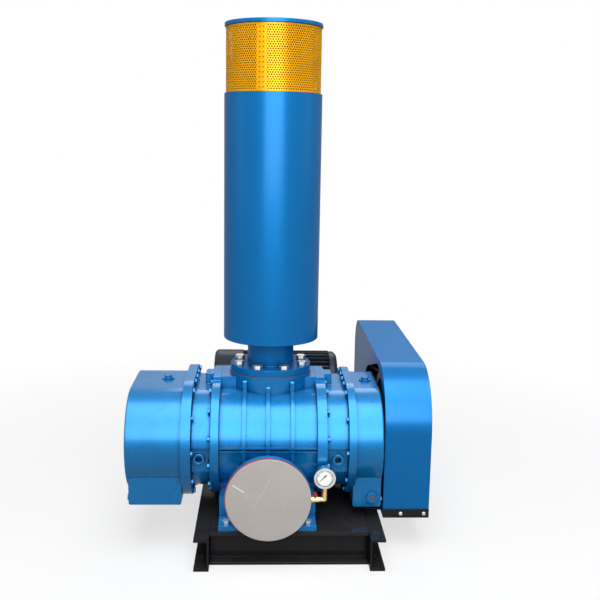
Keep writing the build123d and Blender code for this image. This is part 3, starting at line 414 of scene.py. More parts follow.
def group_brushed_metal():
    """Bare metal with fine marks: streaked roughness and a faint relief."""
    group, start, end = node_group(
        "brushed_metal",
        (("Colour", "Color", (0.6, 0.6, 0.6, 1)), ("Stretch", "Vector", (1.0, 1.0, 30.0)),
         ("Low Roughness", "Float", 0.22), ("High Roughness", "Float", 0.42)),
        (("Colour", "Color"), ("Roughness", "Float"), ("Height", "Float")))
    mapping = group.nodes.new("ShaderNodeMapping")
    wire(group, object_coords(group), mapping.inputs["Vector"])
    wire(group, start.outputs["Stretch"], mapping.inputs["Scale"])
    streaks = noise(group, 90.0, 4.0, 0.65, mapping.outputs["Vector"])
    blotch = noise(group, 30.0, 3.0, 0.6, object_coords(group))
    dull = mix_colour(group, 0.35, start.outputs["Colour"], (0.16, 0.15, 0.14))
    tone = mix_colour(group, remap(group, blotch, 0.35, 0.7, 0.0, 1.0), dull, start.outputs["Colour"])
    rough = remap(group, streaks, 0.3, 0.7,
                  start.outputs["Low Roughness"], start.outputs["High Roughness"])
    wire(group, tone, end.inputs["Colour"])
    wire(group, rough, end.inputs["Roughness"])
    wire(group, streaks, end.inputs["Height"])
    return group


def group_crevice_shade():
    """A mask of painted shade where faces meet, read from ambient occlusion and broken up by noise."""
    group, start, end = node_group(
        "crevice_shade",
        (("Amount", "Float", 0.7), ("Distance", "Float", 0.024), ("Scale", "Float", 30.0)),
        (("Mask", "Float"),))
    near = group.nodes.new("ShaderNodeAmbientOcclusion")
    near.samples = 6
    wire(group, start.outputs["Distance"], near.inputs["Distance"])
    shut = remap(group, near.outputs["AO"], 0.3, 0.85, 1.0, 0.0)
    patch = remap(group, noise(group, start.outputs["Scale"], 4.0, 0.6, object_coords(group)),
                  0.3, 0.6, 0.86, 1.0)
    wire(group, maths(group, "MULTIPLY", maths(group, "MULTIPLY", shut, patch), start.outputs["Amount"]),
         end.inputs["Mask"])
    return group


GROUPS = {
    "crevice_shade": group_crevice_shade,
    "enamel": group_enamel,
    "cast_grain": group_cast_grain,
    "edge_wear": group_edge_wear,
    "settled_dust": group_settled_dust,
    "brushed_metal": group_brushed_metal,
}


def place_group(tree, name, **values):
    """Put a shared group in a material, with its own values."""
    if name not in bpy.data.node_groups:
        GROUPS[name]()
    node = tree.nodes.new("ShaderNodeGroup")
    node.node_tree = bpy.data.node_groups[name]
    for label, value in values.items():
        feed(tree, value, node.inputs[label.replace("_", " ")])
    return node


# Materials, one function for each finish

DUST = (0.35, 0.33, 0.3)
DUST_ON_ENAMEL = (0.33, 0.31, 0.28)
# Painted shade: the colour laid in hollows and where faces meet
PAINTED_SHADE = (0.004, 0.01, 0.018)


def new_material(name, **sockets):
    """A material with one Principled shader, its constants set on its own sockets."""
    made = bpy.data.materials.new(name + "_finish")
    made.use_nodes = True
    shader = made.node_tree.nodes["Principled BSDF"]
    for label, value in sockets.items():
        shader.inputs[label.replace("_", " ")].default_value = value
    return made, made.node_tree, shader


def add_bump(tree, shader, height, distance):
    bump = tree.nodes.new("ShaderNodeBump")
    bump.inputs["Distance"].default_value = distance
    wire(tree, height, bump.inputs["Height"])
    wire(tree, bump.outputs["Normal"], shader.inputs["Normal"])


def enamelled(name, colour_value, grain=0.0, peel=260.0, rough=(0.22, 0.34), drift=0.14, coat=0.3,
              metal=0.0, under=(0.03, 0.03, 0.035), wear=1.0, dust=1.0, bump=0.00025):
    """Enamel paint, with cast grain under it, wear on its edges, dust on top and painted shade in its
    hollows.
    """
    made, tree, shader = new_material(
        name, Coat_Weight=coat, Coat_Roughness=0.12, Specular_IOR_Level=0.0, Metallic=metal)
    skin = place_group(tree, "enamel", Colour=tuple(colour_value), Drift=drift, Peel_Scale=peel,
                       Low_Roughness=rough[0], High_Roughness=rough[1])
    worn = place_group(tree, "edge_wear", Amount=finish().wear * wear)
    dusty = place_group(tree, "settled_dust", Amount=finish().dust * dust)
    base = mix_colour(tree, worn.outputs["Mask"], skin.outputs["Colour"], under)
    base = mix_colour(tree, dusty.outputs["Mask"], base, DUST_ON_ENAMEL)
    # Painted shade: darkens the paint where faces meet, from ambient occlusion
    painted_shade = place_group(tree, "crevice_shade")
    base = mix_colour(tree, painted_shade.outputs["Mask"], base, PAINTED_SHADE)
    wire(tree, base, shader.inputs["Base Color"])
    rougher = maths(tree, "ADD", skin.outputs["Roughness"],
                    maths(tree, "MULTIPLY", dusty.outputs["Mask"], 0.5))
    wire(tree, rougher, shader.inputs["Roughness"])
    height = skin.outputs["Height"]
    if grain:
        cast = place_group(tree, "cast_grain")
        height = maths(tree, "ADD", height, maths(tree, "MULTIPLY", cast.outputs["Height"], grain))
    add_bump(tree, shader, height, bump)
    return made


def skinned(made, tree, shader, skin, dust, bump):
    """Lay a skin's colour, roughness and relief on a shader, with a little dust over them."""
    dusty = place_group(tree, "settled_dust", Amount=finish().dust * dust)
    wire(tree, mix_colour(tree, dusty.outputs["Mask"], skin.outputs["Colour"], DUST),
         shader.inputs["Base Color"])
    wire(tree, skin.outputs["Roughness"], shader.inputs["Roughness"])
    add_bump(tree, shader, skin.outputs["Height"], bump)
    return made


def bare_metal(name, colour_value, rough=(0.2, 0.4), stretch=(1.0, 1.0, 1.0), dust=0.6):
    """Uncoated metal with fine marks and a little dust."""
    made, tree, shader = new_material(name, Metallic=1.0)
    skin = place_group(tree, "brushed_metal", Colour=colour_value, Stretch=stretch,
                       Low_Roughness=rough[0], High_Roughness=rough[1])
    return skinned(made, tree, shader, skin, dust, 0.06 * MM)


def soft_solid(name, colour_value, rough=(0.5, 0.75), peel=420.0, drift=0.3, bump=0.0002, dust=0.6):
    """Rubber, moulded plastic, paper and wool: matt, with a fine surface."""
    made, tree, shader = new_material(name)
    skin = place_group(tree, "enamel", Colour=colour_value, Drift=drift, Drift_Scale=14.0,
                       Peel_Scale=peel, Low_Roughness=rough[0], High_Roughness=rough[1])
    return skinned(made, tree, shader, skin, dust, bump)


def blue_cast_paint():
    return enamelled("blue_cast_paint", finish().cast_blue, grain=1.4, rough=(0.26, 0.3), drift=0.08,
                     coat=0.4, metal=0.2, bump=0.00014)


def blue_sheet_paint():
    return enamelled("blue_sheet_paint", finish().sheet_blue, peel=180.0, rough=(0.28, 0.31), drift=0.04,
                     coat=0.16, metal=0.1, wear=0.6, dust=0.6, bump=0.00012)


def black_frame_paint():
    return enamelled("black_frame_paint", finish().base_black, grain=0.8, rough=(0.38, 0.55), coat=0.25,
                     under=(0.06, 0.045, 0.035), wear=1.2, bump=0.0003)


def yellow_screen_paint():
    return enamelled("yellow_screen_paint", finish().screen_yellow, peel=400.0, rough=(0.3, 0.36),
                     coat=0.1, metal=0.08, under=(0.3, 0.28, 0.25), wear=0.5, dust=0.4, bump=0.00006)


def motor_grey_paint():
    return enamelled("motor_grey_paint", finish().motor_grey, grain=0.8, rough=(0.36, 0.5), coat=0.2,
                     under=(0.1, 0.1, 0.1), dust=1.6)


def zinc_fastener():
    return bare_metal("zinc_fastener", (0.34, 0.36, 0.37), rough=(0.3, 0.5))


def machined_steel():
    return bare_metal("machined_steel", (0.55, 0.56, 0.58), rough=(0.2, 0.34), stretch=(30.0, 1.0, 1.0))


def rotor_iron():
    return bare_metal("rotor_iron", (0.34, 0.34, 0.35), rough=(0.32, 0.5), stretch=(1.0, 12.0, 12.0))


def pulley_iron():
    return soft_solid("pulley_iron", (0.115, 0.045, 0.03), rough=(0.45, 0.7), peel=160.0, bump=0.0003)


def bearing_steel():
    return bare_metal("bearing_steel", (0.72, 0.72, 0.74), rough=(0.1, 0.2))


def belt_rubber():
    return soft_solid("belt_rubber", (0.025, 0.025, 0.026), rough=(0.6, 0.85), peel=900.0)


def red_gasket():
    return soft_solid("red_gasket", (0.42, 0.015, 0.012), rough=(0.45, 0.65), peel=300.0, dust=0.2)


def black_seal():
    return soft_solid("black_seal", (0.02, 0.02, 0.02), rough=(0.5, 0.7))


# Pale streaks on the outlet's cover sheet: start and end (x, z), half width, in metres, and strength
PALE_STREAKS = (
    ((-0.190, 0.2925), (-0.151, 0.2665), 0.0024, 1.0),
    ((-0.152, 0.262), (-0.136, 0.246), 0.001, 0.35),
    ((-0.092, 0.262), (-0.066, 0.316), 0.0012, 0.3),
    ((-0.118, 0.214), (-0.095, 0.262), 0.001, 0.25),
    ((-0.03, 0.19), (-0.012, 0.236), 0.001, 0.2))


def pale_streak(tree, start, end, half_width):
    """A mask of one straight mark between two points (x, z) of a sheet that faces the front."""
    run = Vector(end) - Vector(start)
    along = Vector((run.x, 0.0, run.y)).normalized()
    across = Vector((-along.z, 0.0, along.x))
    shift = vector_maths(tree, "SUBTRACT", object_coords(tree), (start[0], 0.0, start[1]))
    far_along, far_across = (
        vector_maths(tree, "DOT_PRODUCT", shift.outputs["Vector"], axis).outputs["Value"]
        for axis in (along, across))
    middle_off = maths(tree, "ABSOLUTE", maths(tree, "SUBTRACT", far_along, run.length / 2))
    inside = remap(tree, middle_off, run.length / 2 - 2.0 * MM, run.length / 2, 1.0, 0.0)
    thin = remap(tree, maths(tree, "ABSOLUTE", far_across), 0.6 * half_width, half_width, 1.0, 0.0)
    return maths(tree, "MULTIPLY", inside, thin)


def cover_sheet():
    """The pale sheet over the outlet: a soft sheen, faint rolling marks, scuffs and pale streaks."""
    made, tree, shader = new_material("cover_sheet", Coat_Weight=0.12, Coat_Roughness=0.25)
    place = object_coords(tree)
    mapping = tree.nodes.new("ShaderNodeMapping")
    mapping.inputs["Scale"].default_value = (2.0, 1.0, 26.0)
    mapping.inputs["Rotation"].default_value = (0.0, radians(32.0), 0.0)
    wire(tree, place, mapping.inputs["Vector"])
    marks = noise(tree, 7.0, 5.0, 0.6, mapping.outputs["Vector"])
    cloud = noise(tree, 3.5, 3.0, 0.5, place)
    warm = tuple(finish().disc_grey)
    light = tuple(min(1.0, 1.13 * c) for c in warm)
    tone = mix_colour(tree, remap(tree, cloud, 0.3, 0.7, 0.0, 1.0), warm, light)
    tone = mix_colour(tree, remap(tree, marks, 0.52, 0.8, 0.0, 0.35), tone, (0.62, 0.59, 0.56))
    for start, end, half_width, strength in PALE_STREAKS:
        mark = pale_streak(tree, start, end, half_width)
        tone = mix_colour(tree, maths(tree, "MULTIPLY", mark, strength), tone, (0.95, 0.94, 0.93))
    wire(tree, tone, shader.inputs["Base Color"])
    wire(tree, remap(tree, marks, 0.3, 0.7, 0.38, 0.55), shader.inputs["Roughness"])
    add_bump(tree, shader, marks, 0.0001)
    return made


def gauge_steel():
    return bare_metal("gauge_steel", (0.8, 0.8, 0.81), rough=(0.06, 0.16), dust=0.2)


def dial_white():
    return soft_solid("dial_white", (0.86, 0.86, 0.84), rough=(0.35, 0.45), drift=0.03, bump=0.00002,
                      dust=0.0)


def needle_black():
    return soft_solid("needle_black", (0.015, 0.015, 0.015), rough=(0.3, 0.4), bump=0.00002, dust=0.0)


def clear_glass():
    made, tree, shader = new_material("clear_glass", Transmission_Weight=1.0, IOR=1.45)
    haze = noise(tree, 40.0, 2.0, 0.5, object_coords(tree))
    wire(tree, mix_colour(tree, haze, (0.96, 0.98, 0.98), (1.0, 1.0, 1.0)), shader.inputs["Base Color"])
    wire(tree, remap(tree, haze, 0.3, 0.7, 0.015, 0.05), shader.inputs["Roughness"])
    return made


def oil_glass():
    """The sight glass: dark oil seen behind a polished window."""
    made, tree, shader = new_material("oil_glass", Coat_Weight=1.0, Coat_Roughness=0.03)
    cloud = noise(tree, 60.0, 3.0, 0.5, object_coords(tree))
    wire(tree, mix_colour(tree, cloud, (0.012, 0.03, 0.06), (0.03, 0.07, 0.12)),
         shader.inputs["Base Color"])
    wire(tree, remap(tree, cloud, 0.3, 0.7, 0.06, 0.14), shader.inputs["Roughness"])
    return made


def brass_fitting():
    return bare_metal("brass_fitting", (0.83, 0.56, 0.22), rough=(0.18, 0.34),
                      stretch=(30.0, 1.0, 1.0), dust=0.3)


def red_lever():
    return soft_solid("red_lever", (0.6, 0.02, 0.015), rough=(0.25, 0.35), peel=200.0, bump=0.0001,
                      dust=0.2)


def filter_paper():
    """Pleated filter paper: folds run up and down round the element. Its colour holds painted shade:
    nearly black, so that the screen's holes read dark, and darker and lighter in bands along the folds.
    """
    made, tree, shader = new_material("filter_paper", Roughness=0.85, Specular_IOR_Level=0.1)
    wave = tree.nodes.new("ShaderNodeTexWave")
    wave.bands_direction = "X"
    wave.inputs["Scale"].default_value = 60.0
    wire(tree, object_coords(tree), wave.inputs["Vector"])
    # Painted shade: the two near-black colours stand for the shade inside the screen and in the pleats
    wire(tree, mix_colour(tree, wave.outputs["Fac"], (0.012, 0.006, 0.002), (0.05, 0.028, 0.01)),
         shader.inputs["Base Color"])
    add_bump(tree, shader, wave.outputs["Fac"], 0.002)
    return made


def lining_wool():
    return soft_solid("lining_wool", (0.35, 0.3, 0.2), rough=(0.85, 0.95), peel=120.0, bump=0.002)


def fan_plastic():
    return soft_solid("fan_plastic", (0.04, 0.04, 0.045), rough=(0.4, 0.55))


MATERIALS = {maker.__name__: maker for maker in (
    blue_cast_paint, blue_sheet_paint, black_frame_paint, yellow_screen_paint, motor_grey_paint,
    zinc_fastener, machined_steel, rotor_iron, pulley_iron, bearing_steel, belt_rubber, red_gasket,
    black_seal, cover_sheet, gauge_steel, dial_white, needle_black, clear_glass, oil_glass,
    brass_fitting, red_lever, filter_paper, lining_wool, fan_plastic)}


def material(slot):
    """The finish of a record slot, made the first time that it is asked for."""
    return bpy.data.materials.get(slot + "_finish") or MATERIALS[slot]()


def paint_frame_nodes(names):
    """Give CAD nodes that stay as they are their finish."""
    for name in names:
        node = frame["nodes"][name]
        node.data.materials.clear()
        node.data.materials.append(material(slot_of_node(name)))


# Pieces

def size(node):
    low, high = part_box(node)
    return high - low


def middle(node):
    low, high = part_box(node)
    return (low + high) / 2


def on_round(centre, radius, angle, z):
    """The point at an angle on a circle about an upright axis."""
    return Vector((centre.x + radius * cos(angle), centre.y + radius * sin(angle), z))


# Outer radius of the two flanged pipes, and from each one's end to the bead behind its flange
SPOOL_PIPE = 85.5 * MM
SPOOL_FLANGE = 23 * MM
NECK_PIPE = 83 * MM
NECK_FLANGE = 22 * MM


def weld_ring(name, centre, radius, slot, turned=(0, 0, 0)):
    """A weld bead round a pipe."""
    bead = fresh(bpy.ops.mesh.primitive_torus_add, location=centre, rotation=turned, major_radius=radius,
                 minor_radius=details().weld, major_segments=96, minor_segments=10)
    ripple = bead.modifiers.new("ripple", "DISPLACE")
    pattern = bpy.data.textures.new(name + "_ripple", "CLOUDS")
    pattern.noise_scale = 6.0 * MM
    ripple.texture = pattern
    ripple.strength = 1.2 * MM
    apply_modifiers(bead)
    settle(bead, name, slot, smooth=80)


class PUMP_OT_base(bpy.types.Operator):
    """Finish the channel base, its deck plate and the motor rails"""

    bl_idname = "pump.base"
    bl_label = "Channel base"

    def execute(self, context):
        for node in ("base_side_channels", "base_cross_channels", "motor_slide_rails"):
            dressed(node, 1.6 * MM)
        for node in ("base_deck_plate", "guard_brackets"):
            dressed(node, 0.8 * MM)
        return {"FINISHED"}


class PUMP_OT_castings(bpy.types.Operator):
    """Finish the cast pump body, its end plates, covers and discharge chest"""

    bl_idname = "pump.castings"
    bl_label = "Castings"

    def execute(self, context):
        edge = details().cast_edge
        for node in ("pump_casing", "gear_side_plate", "drive_side_plate", "gear_cover", "drive_cover",
                     "discharge_chest"):
            dressed(node, edge, 3)
        dressed("outlet_spool", 0.6 * edge)
        flange = middle("outlet_gasket")
        bead_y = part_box("outlet_spool")[0].y + SPOOL_FLANGE
        weld_ring("spool_weld", (flange.x, bead_y, flange.z), SPOOL_PIPE, "blue_cast_paint", FORWARD)
        dressed("oil_plugs", details().bolt_edge)
        dressed("oil_sight_ring", 1.0 * MM)
        paint_frame_nodes(("oil_sight_lens", "joint_gaskets", "drive_shaft_seal"))
        return {"FINISHED"}


class PUMP_OT_bolts(bpy.types.Operator):
    """Finish the bolt heads"""

    bl_idname = "pump.bolts"
    bl_label = "Bolts"

    def execute(self, context):
        for node in ("end_plate_bolts", "cover_bolts", "inlet_flange_bolts", "foot_bolts", "guard_bolts"):
            dressed(node, details().bolt_edge)
        return {"FINISHED"}


class PUMP_OT_outlet(bpy.types.Operator):
    """Model the sheet disc over the outlet and finish its gasket"""

    bl_idname = "pump.outlet"
    bl_label = "Outlet cover"

    def execute(self, context):
        dressed("outlet_gasket", 0.0)
        centre, extent = middle("outlet_cover_disc"), size("outlet_cover_disc")
        disc = fresh(bpy.ops.mesh.primitive_cylinder_add, vertices=ROUND, radius=extent.x / 2,
                     depth=extent.y, location=centre, rotation=FORWARD)
        bevelled(disc, 0.7 * MM, 3, 60)
        settle(disc, "outlet_cover_disc_finished", "cover_sheet", "outlet_cover", node="outlet_cover_disc")
        return {"FINISHED"}


# Where on the screen's round the sheet's ends lap, as an angle about its axis
LAP_SIDE = radians(-104.8)


def screen_cell(hole, wide, high):
    """One cell of the perforated sheet, in its own XZ plane: a round hole in a small field."""
    cell = fresh(bpy.ops.mesh.primitive_plane_add, size=1.0, rotation=FORWARD)
    cell.scale = (wide, high, 1.0)
    bpy.ops.object.transform_apply()
    open_edit(cell, pick="SELECT")
    bpy.ops.mesh.subdivide(number_cuts=1)
    bpy.ops.mesh.select_mode(type="VERT")
    bpy.ops.mesh.select_all(action="DESELECT")
    close_edit()
    for point in cell.data.vertices:
        point.select = point.co.length < 0.1 * wide
    bpy.ops.object.mode_set(mode="EDIT")
    bpy.ops.mesh.delete(type="VERT")
    bpy.ops.mesh.select_all(action="DESELECT")
    bpy.ops.mesh.primitive_circle_add(vertices=8, radius=hole / 2, rotation=FORWARD)
    bpy.ops.mesh.select_mode(type="EDGE")
    bpy.ops.mesh.select_all(action="SELECT")
    bpy.ops.mesh.bridge_edge_loops()
    close_edit()
    if cell.data.polygons[0].normal.y > 0:
        open_edit(cell, pick="SELECT")
        bpy.ops.mesh.flip_normals()
        close_edit()
    return cell


class PUMP_OT_screen(bpy.types.Operator):
    """Model the perforated filter screen with its closing strip and hoops"""

    bl_idname = "pump.screen"
    bl_label = "Filter screen"

    def execute(self, context):
        d = details()
        low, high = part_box("filter_screen")
        centre = (low + high) / 2
        radius = (high.x - low.x) / 2 - 0.8 * MM
        hoop = 5.0 * MM
        columns = round(2 * pi * radius / d.hole_pitch)
        wide = 2 * pi * radius / columns
        rows = 2 * round((high.z - low.z - 2 * hoop) / d.row_pitch / 2)
        tall = (high.z - low.z - 2 * hoop) / rows
        strip = round(d.seam_width / wide)
        cell = screen_cell(d.hole, wide, tall)
        gap = 0.05 * wide
        repeated(cell, (wide, 0, 0), columns - strip, gap)
        bpy.ops.object.duplicate()
        second = bpy.context.active_object
        for point in second.data.vertices:
            point.co += Vector((wide / 2, 0, tall))
        joined((cell, second))
        repeated(cell, (0, 0, 2 * tall), rows // 2, gap)
        first = LAP_SIDE + strip * wide / radius / 2
        for point in cell.data.vertices:
            turned = first + (point.co.x + wide / 2) / radius
            point.co = on_round(centre, radius, turned, low.z + hoop + tall / 2 + point.co.z)
        thickened(cell, 1.2 * MM)
        settle(cell, "filter_screen_finished", "yellow_screen_paint", node="filter_screen", smooth=30)
        self.hoops(centre, radius, low.z, high.z, hoop)
        self.strip(centre, radius, low.z + hoop, high.z - hoop, strip * wide + wide)
        return {"FINISHED"}

    def hoops(self, centre, radius, bottom, top, deep):
        """Plain hoops that hold the sheet's two edges."""
        for name, z in (("screen_lower_hoop", bottom + deep / 2), ("screen_upper_hoop", top - deep / 2)):
            ring = fresh(bpy.ops.mesh.primitive_cylinder_add, vertices=128, radius=radius, depth=deep,
                         end_fill_type="NOTHING", location=(centre.x, centre.y, z))
            thickened(ring, 1.4 * MM)
            settle(ring, name, "yellow_screen_paint")

    def strip(self, centre, radius, bottom, top, wide):
        """The plain strip where the sheet's ends lap, with its rows of paired dark rivets."""
        lap = fresh(bpy.ops.mesh.primitive_grid_add, x_subdivisions=10, y_subdivisions=4, size=1.0,
                    rotation=FORWARD)
        lap.scale = (wide, top - bottom, 1.0)
        bpy.ops.object.transform_apply()
        for point in lap.data.vertices:
            turned = LAP_SIDE + point.co.x / radius
            point.co = on_round(centre, radius + 0.9 * MM, turned, (bottom + top) / 2 + point.co.z)
        thickened(lap, 1.0 * MM, -1.0)
        settle(lap, "screen_lap_strip", "yellow_screen_paint")
        rivets = []
        rows = 13
        apart = 0.18 * wide / radius
        for i in range(rows):
            z = bottom + (top - bottom) * (i + 0.5) / rows
            for side in (-1, 1):
                place = on_round(centre, radius + 0.7 * MM, LAP_SIDE + side * apart, z)
                rivets.append(fresh(bpy.ops.mesh.primitive_uv_sphere_add, segments=10, ring_count=6,
                                    radius=2.1 * MM, location=place))
        settle(joined(rivets), "screen_rivets", "black_frame_paint", smooth=80)


class PUMP_OT_silencer(bpy.types.Operator):
    """Model the silencer shell and cap, and finish the inlet pipe and what is inside"""

    bl_idname = "pump.silencer"
    bl_label = "Inlet silencer"

    def execute(self, context):
        self.drum("silencer_shell", 2.6 * MM, ((1, 3.0 * MM, -4.0 * MM), (-1, 9.0 * MM, 2.0 * MM)))
        self.drum("silencer_cap", 2.5 * MM, ((-1, 2.5 * MM, 1.5 * MM),))
        dressed("silencer_neck", 1.5 * MM)
        pipe = middle("silencer_neck")
        for name, z in (("neck_lower_weld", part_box("silencer_neck")[0].z + NECK_FLANGE),
                        ("neck_upper_weld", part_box("silencer_shell")[0].z + 1.5 * MM)):
            weld_ring(name, (pipe.x, pipe.y, z), NECK_PIPE, "blue_sheet_paint")
        paint_frame_nodes(("filter_element", "silencer_core_tube", "silencer_lining"))
        return {"FINISHED"}

    def drum(self, node, edge, ends):
        """A sheet drum; each end is its side, the width of its rim and how far its face shifts."""
        low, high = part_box(node)
        drum = fresh(bpy.ops.mesh.primitive_cylinder_add, vertices=ROUND, radius=(high.x - low.x) / 2,
                     depth=high.z - low.z, location=(low + high) / 2)
        bpy.ops.object.transform_apply()
        open_edit(drum)
        for side, rim, shift in ends:
            pick_faces(drum, lambda centre, normal: side * normal.z > 0.9)
            bpy.ops.mesh.inset(thickness=rim)
            bpy.ops.transform.translate(value=(0, 0, shift))
        close_edit()
        bevelled(drum, edge, 3, 50)
        settle(drum, node + "_finished", "blue_sheet_paint", node=node, smooth=50)


class PUMP_OT_guard(bpy.types.Operator):
    """Finish the belt guard, its back panel and the belt drive inside it"""

    bl_idname = "pump.guard"
    bl_label = "Belt guard"

    def execute(self, context):
        dressed("belt_guard", details().sheet_edge, 3)
        dressed("guard_back_panel", 0.6 * MM)
        for node in ("guard_foot_strip", "pump_pulley", "motor_pulley"):
            dressed(node, 0.8 * MM)
        dressed("v_belts", 0.0)
        return {"FINISHED"}


class PUMP_OT_motor(bpy.types.Operator):
    """Finish the motor"""

    bl_idname = "pump.motor"
    bl_label = "Motor"

    def execute(self, context):
        dressed("motor_frame", 1.2 * MM)
        dressed("motor_end_shields", 2.0 * MM)
        dressed("motor_fan_cowl", 0.0)
        dressed("motor_terminal_box", 1.8 * MM)
        paint_frame_nodes(("motor_rotor_shaft", "motor_stator", "motor_bearings", "motor_fan"))
        return {"FINISHED"}


class PUMP_OT_rotors(bpy.types.Operator):
    """Give the rotors, shafts, gears, bearings and seals their finish"""

    bl_idname = "pump.rotors"
    bl_label = "Rotors and gears"

    def execute(self, context):
        paint_frame_nodes(("drive_rotor", "driven_rotor", "drive_timing_gear", "driven_timing_gear",
                           "drive_gear_nut", "driven_gear_nut", "rotor_bearings", "rotor_labyrinth_seals"))
        return {"FINISHED"}


class PUMP_OT_gauge(bpy.types.Operator):
    """Model the gauge's bezel, ticks and figures, and finish its fittings and cock"""

    bl_idname = "pump.gauge"
    bl_label = "Gauge and cock"

    def execute(self, context):
        low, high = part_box("gauge_case")
        dressed("gauge_case", 1.5 * MM, 3)
        thick = 3.2 * MM
        self.rim("gauge_bezel", "gauge_steel", (high.x - low.x) / 2 - 4.0 * MM, low.y + thick, thick, 14)
        self.rim("gauge_lens_seal", "black_seal", size("gauge_lens").x / 2 - 0.6 * MM, low.y + 1.2 * MM,
                 0.9 * MM, 10)
        dressed("gauge_dial", 0.0)
        face_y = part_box("gauge_dial")[1].y - 2.15 * MM
        self.scale_marks(middle("gauge_dial"), size("gauge_dial").x / 2, face_y)
        self.needle()
        paint_frame_nodes(("gauge_lens",))
        dressed("gauge_pipe_fittings", 0.8 * MM)
        for node in ("cock_body", "cock_lever"):
            dressed(node, 1.0 * MM)
        return {"FINISHED"}

    def rim(self, name, slot, radius, y, thick, sides):
        """A round bead about the middle of the dial."""
        centre = middle("gauge_lens")
        bead = fresh(bpy.ops.mesh.primitive_torus_add, location=(centre.x, y, centre.z), rotation=FORWARD,
                     major_radius=radius, minor_radius=thick, major_segments=72, minor_segments=sides)
        settle(bead, name, slot, smooth=80)

    def needle(self):
        """A needle that tapers to its tip, with a broad tail and a hub cap."""
        centre, extent = middle("gauge_needle"), size("gauge_needle")
        joints = frame["record"]["behaviour"]["joints"]
        pivot = Vector(next(joint["pos_m"] for joint in joints if joint["name"] == "gauge_needle_swing"))
        tip, tail = (Vector((end.x - pivot.x, end.z - pivot.z)).length - 1.5 * MM
                     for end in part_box("gauge_needle"))
        blade = fresh(bpy.ops.mesh.primitive_cube_add, size=1.0)
        for point in blade.data.vertices:
            outer = point.co.x < 0
            half = 0.7 * MM if outer else 2.0 * MM
            point.co = Vector((-tip if outer else tail, point.co.y * 0.9 * MM,
                               half if point.co.z > 0 else -half))
        blade.rotation_euler = (0, radians(-45), 0)
        blade.location = (pivot.x, centre.y, pivot.z)
        bpy.ops.object.transform_apply()
        hub = fresh(bpy.ops.mesh.primitive_cylinder_add, vertices=32, radius=3.9 * MM,
                    depth=0.95 * extent.y, location=(pivot.x, centre.y, pivot.z), rotation=FORWARD)
        bevelled(hub, 0.4 * MM, 2, 60)
        settle(joined((blade, hub)), "gauge_needle_finished", "needle_black", "gauge_needle",
               node="gauge_needle")

    def scale_marks(self, centre, radius, face_y):
        """Ticks round three quarters of the dial and plain figures beside the long ones."""
        marks = []
        steps = 20
        start, sweep = 225.0, 270.0
        for i in range(steps + 1):
            turned = radians(start - sweep * i / steps)
            long = i % 4 == 0
            reach = 4.6 * MM if long else 3.2 * MM
            at = radius - 2.5 * MM - reach / 2
            tick = fresh(bpy.ops.mesh.primitive_cube_add, size=1.0, rotation=(0, -turned, 0),
                         location=(centre.x + at * cos(turned), face_y, centre.z + at * sin(turned)))
            tick.scale = (reach, 0.2 * MM, 1.1 * MM if long else 0.7 * MM)
            marks.append(tick)
            if long:
                inner = radius - 10.5 * MM
                place = (centre.x + inner * cos(turned), face_y, centre.z + inner * sin(turned))
                marks.append(self.figure(str(i // 4 * 20), place))
        for mark in marks:
            only(mark)
            bpy.ops.object.transform_apply()
        settle(joined(marks), "gauge_scale", "needle_black")

    def figure(self, number, place):
        """One plain figure of the dial, as a mesh."""
        mark = fresh(bpy.ops.object.text_add, location=place, rotation=FORWARD)
        mark.data.body = number
        mark.data.size = 4.4 * MM
        mark.data.align_x = "CENTER"
        mark.data.align_y = "CENTER"
        mark.data.extrude = 0.08 * MM
        only(mark)
        bpy.ops.object.convert(target="MESH")
        return bpy.context.active_object


# Stage

def background_rays(tree):
    """1 for the rays that find the white background: the camera's, and those off metal and glass."""
    path = tree.nodes.new("ShaderNodeLightPath")
    mirrored = maths(tree, "MAXIMUM", path.outputs["Is Glossy Ray"], path.outputs["Is Transmission Ray"])
    return maths(tree, "MAXIMUM", path.outputs["Is Camera Ray"], mirrored)


def blend_shaders(tree, share, first, second, output):
    """Mix two shaders into an output node of the tree."""
    blend = tree.nodes.new("ShaderNodeMixShader")
    wire(tree, share, blend.inputs["Fac"])
    wire(tree, first, blend.inputs[1])
    wire(tree, second, blend.inputs[2])
    wire(tree, blend.outputs["Shader"], tree.nodes[output].inputs["Surface"])


def floor_material():
    """A dark floor with the pump's shadow that shows white to the camera, metal and glass."""
    made, tree, shader = new_material("stage_floor", Roughness=0.9, Specular_IOR_Level=0.0)
    seen = background_rays(tree)
    wire(tree, mix_colour(tree, seen, (0.12, 0.12, 0.13), (0.92, 0.92, 0.92)), shader.inputs["Base Color"])
    far = vector_maths(tree, "LENGTH", object_coords(tree))
    glow_share = remap(tree, far.outputs["Value"], 0.9, 2.4, 0.66, 1.0)
    glow = tree.nodes.new("ShaderNodeEmission")
    blend_shaders(tree, maths(tree, "MULTIPLY", seen, glow_share), shader.outputs["BSDF"],
                  glow.outputs["Emission"], "Material Output")
    return made


def area_light(name, place, aim, wide, high, power):
    lamp = fresh(bpy.ops.object.light_add, type="AREA", location=place)
    lamp.name = name
    lamp.rotation_euler = (Vector(aim) - Vector(place)).to_track_quat("-Z", "Y").to_euler()
    lamp.data.shape = "RECTANGLE"
    lamp.data.size = wide
    lamp.data.size_y = high
    lamp.data.energy = power
    return lamp


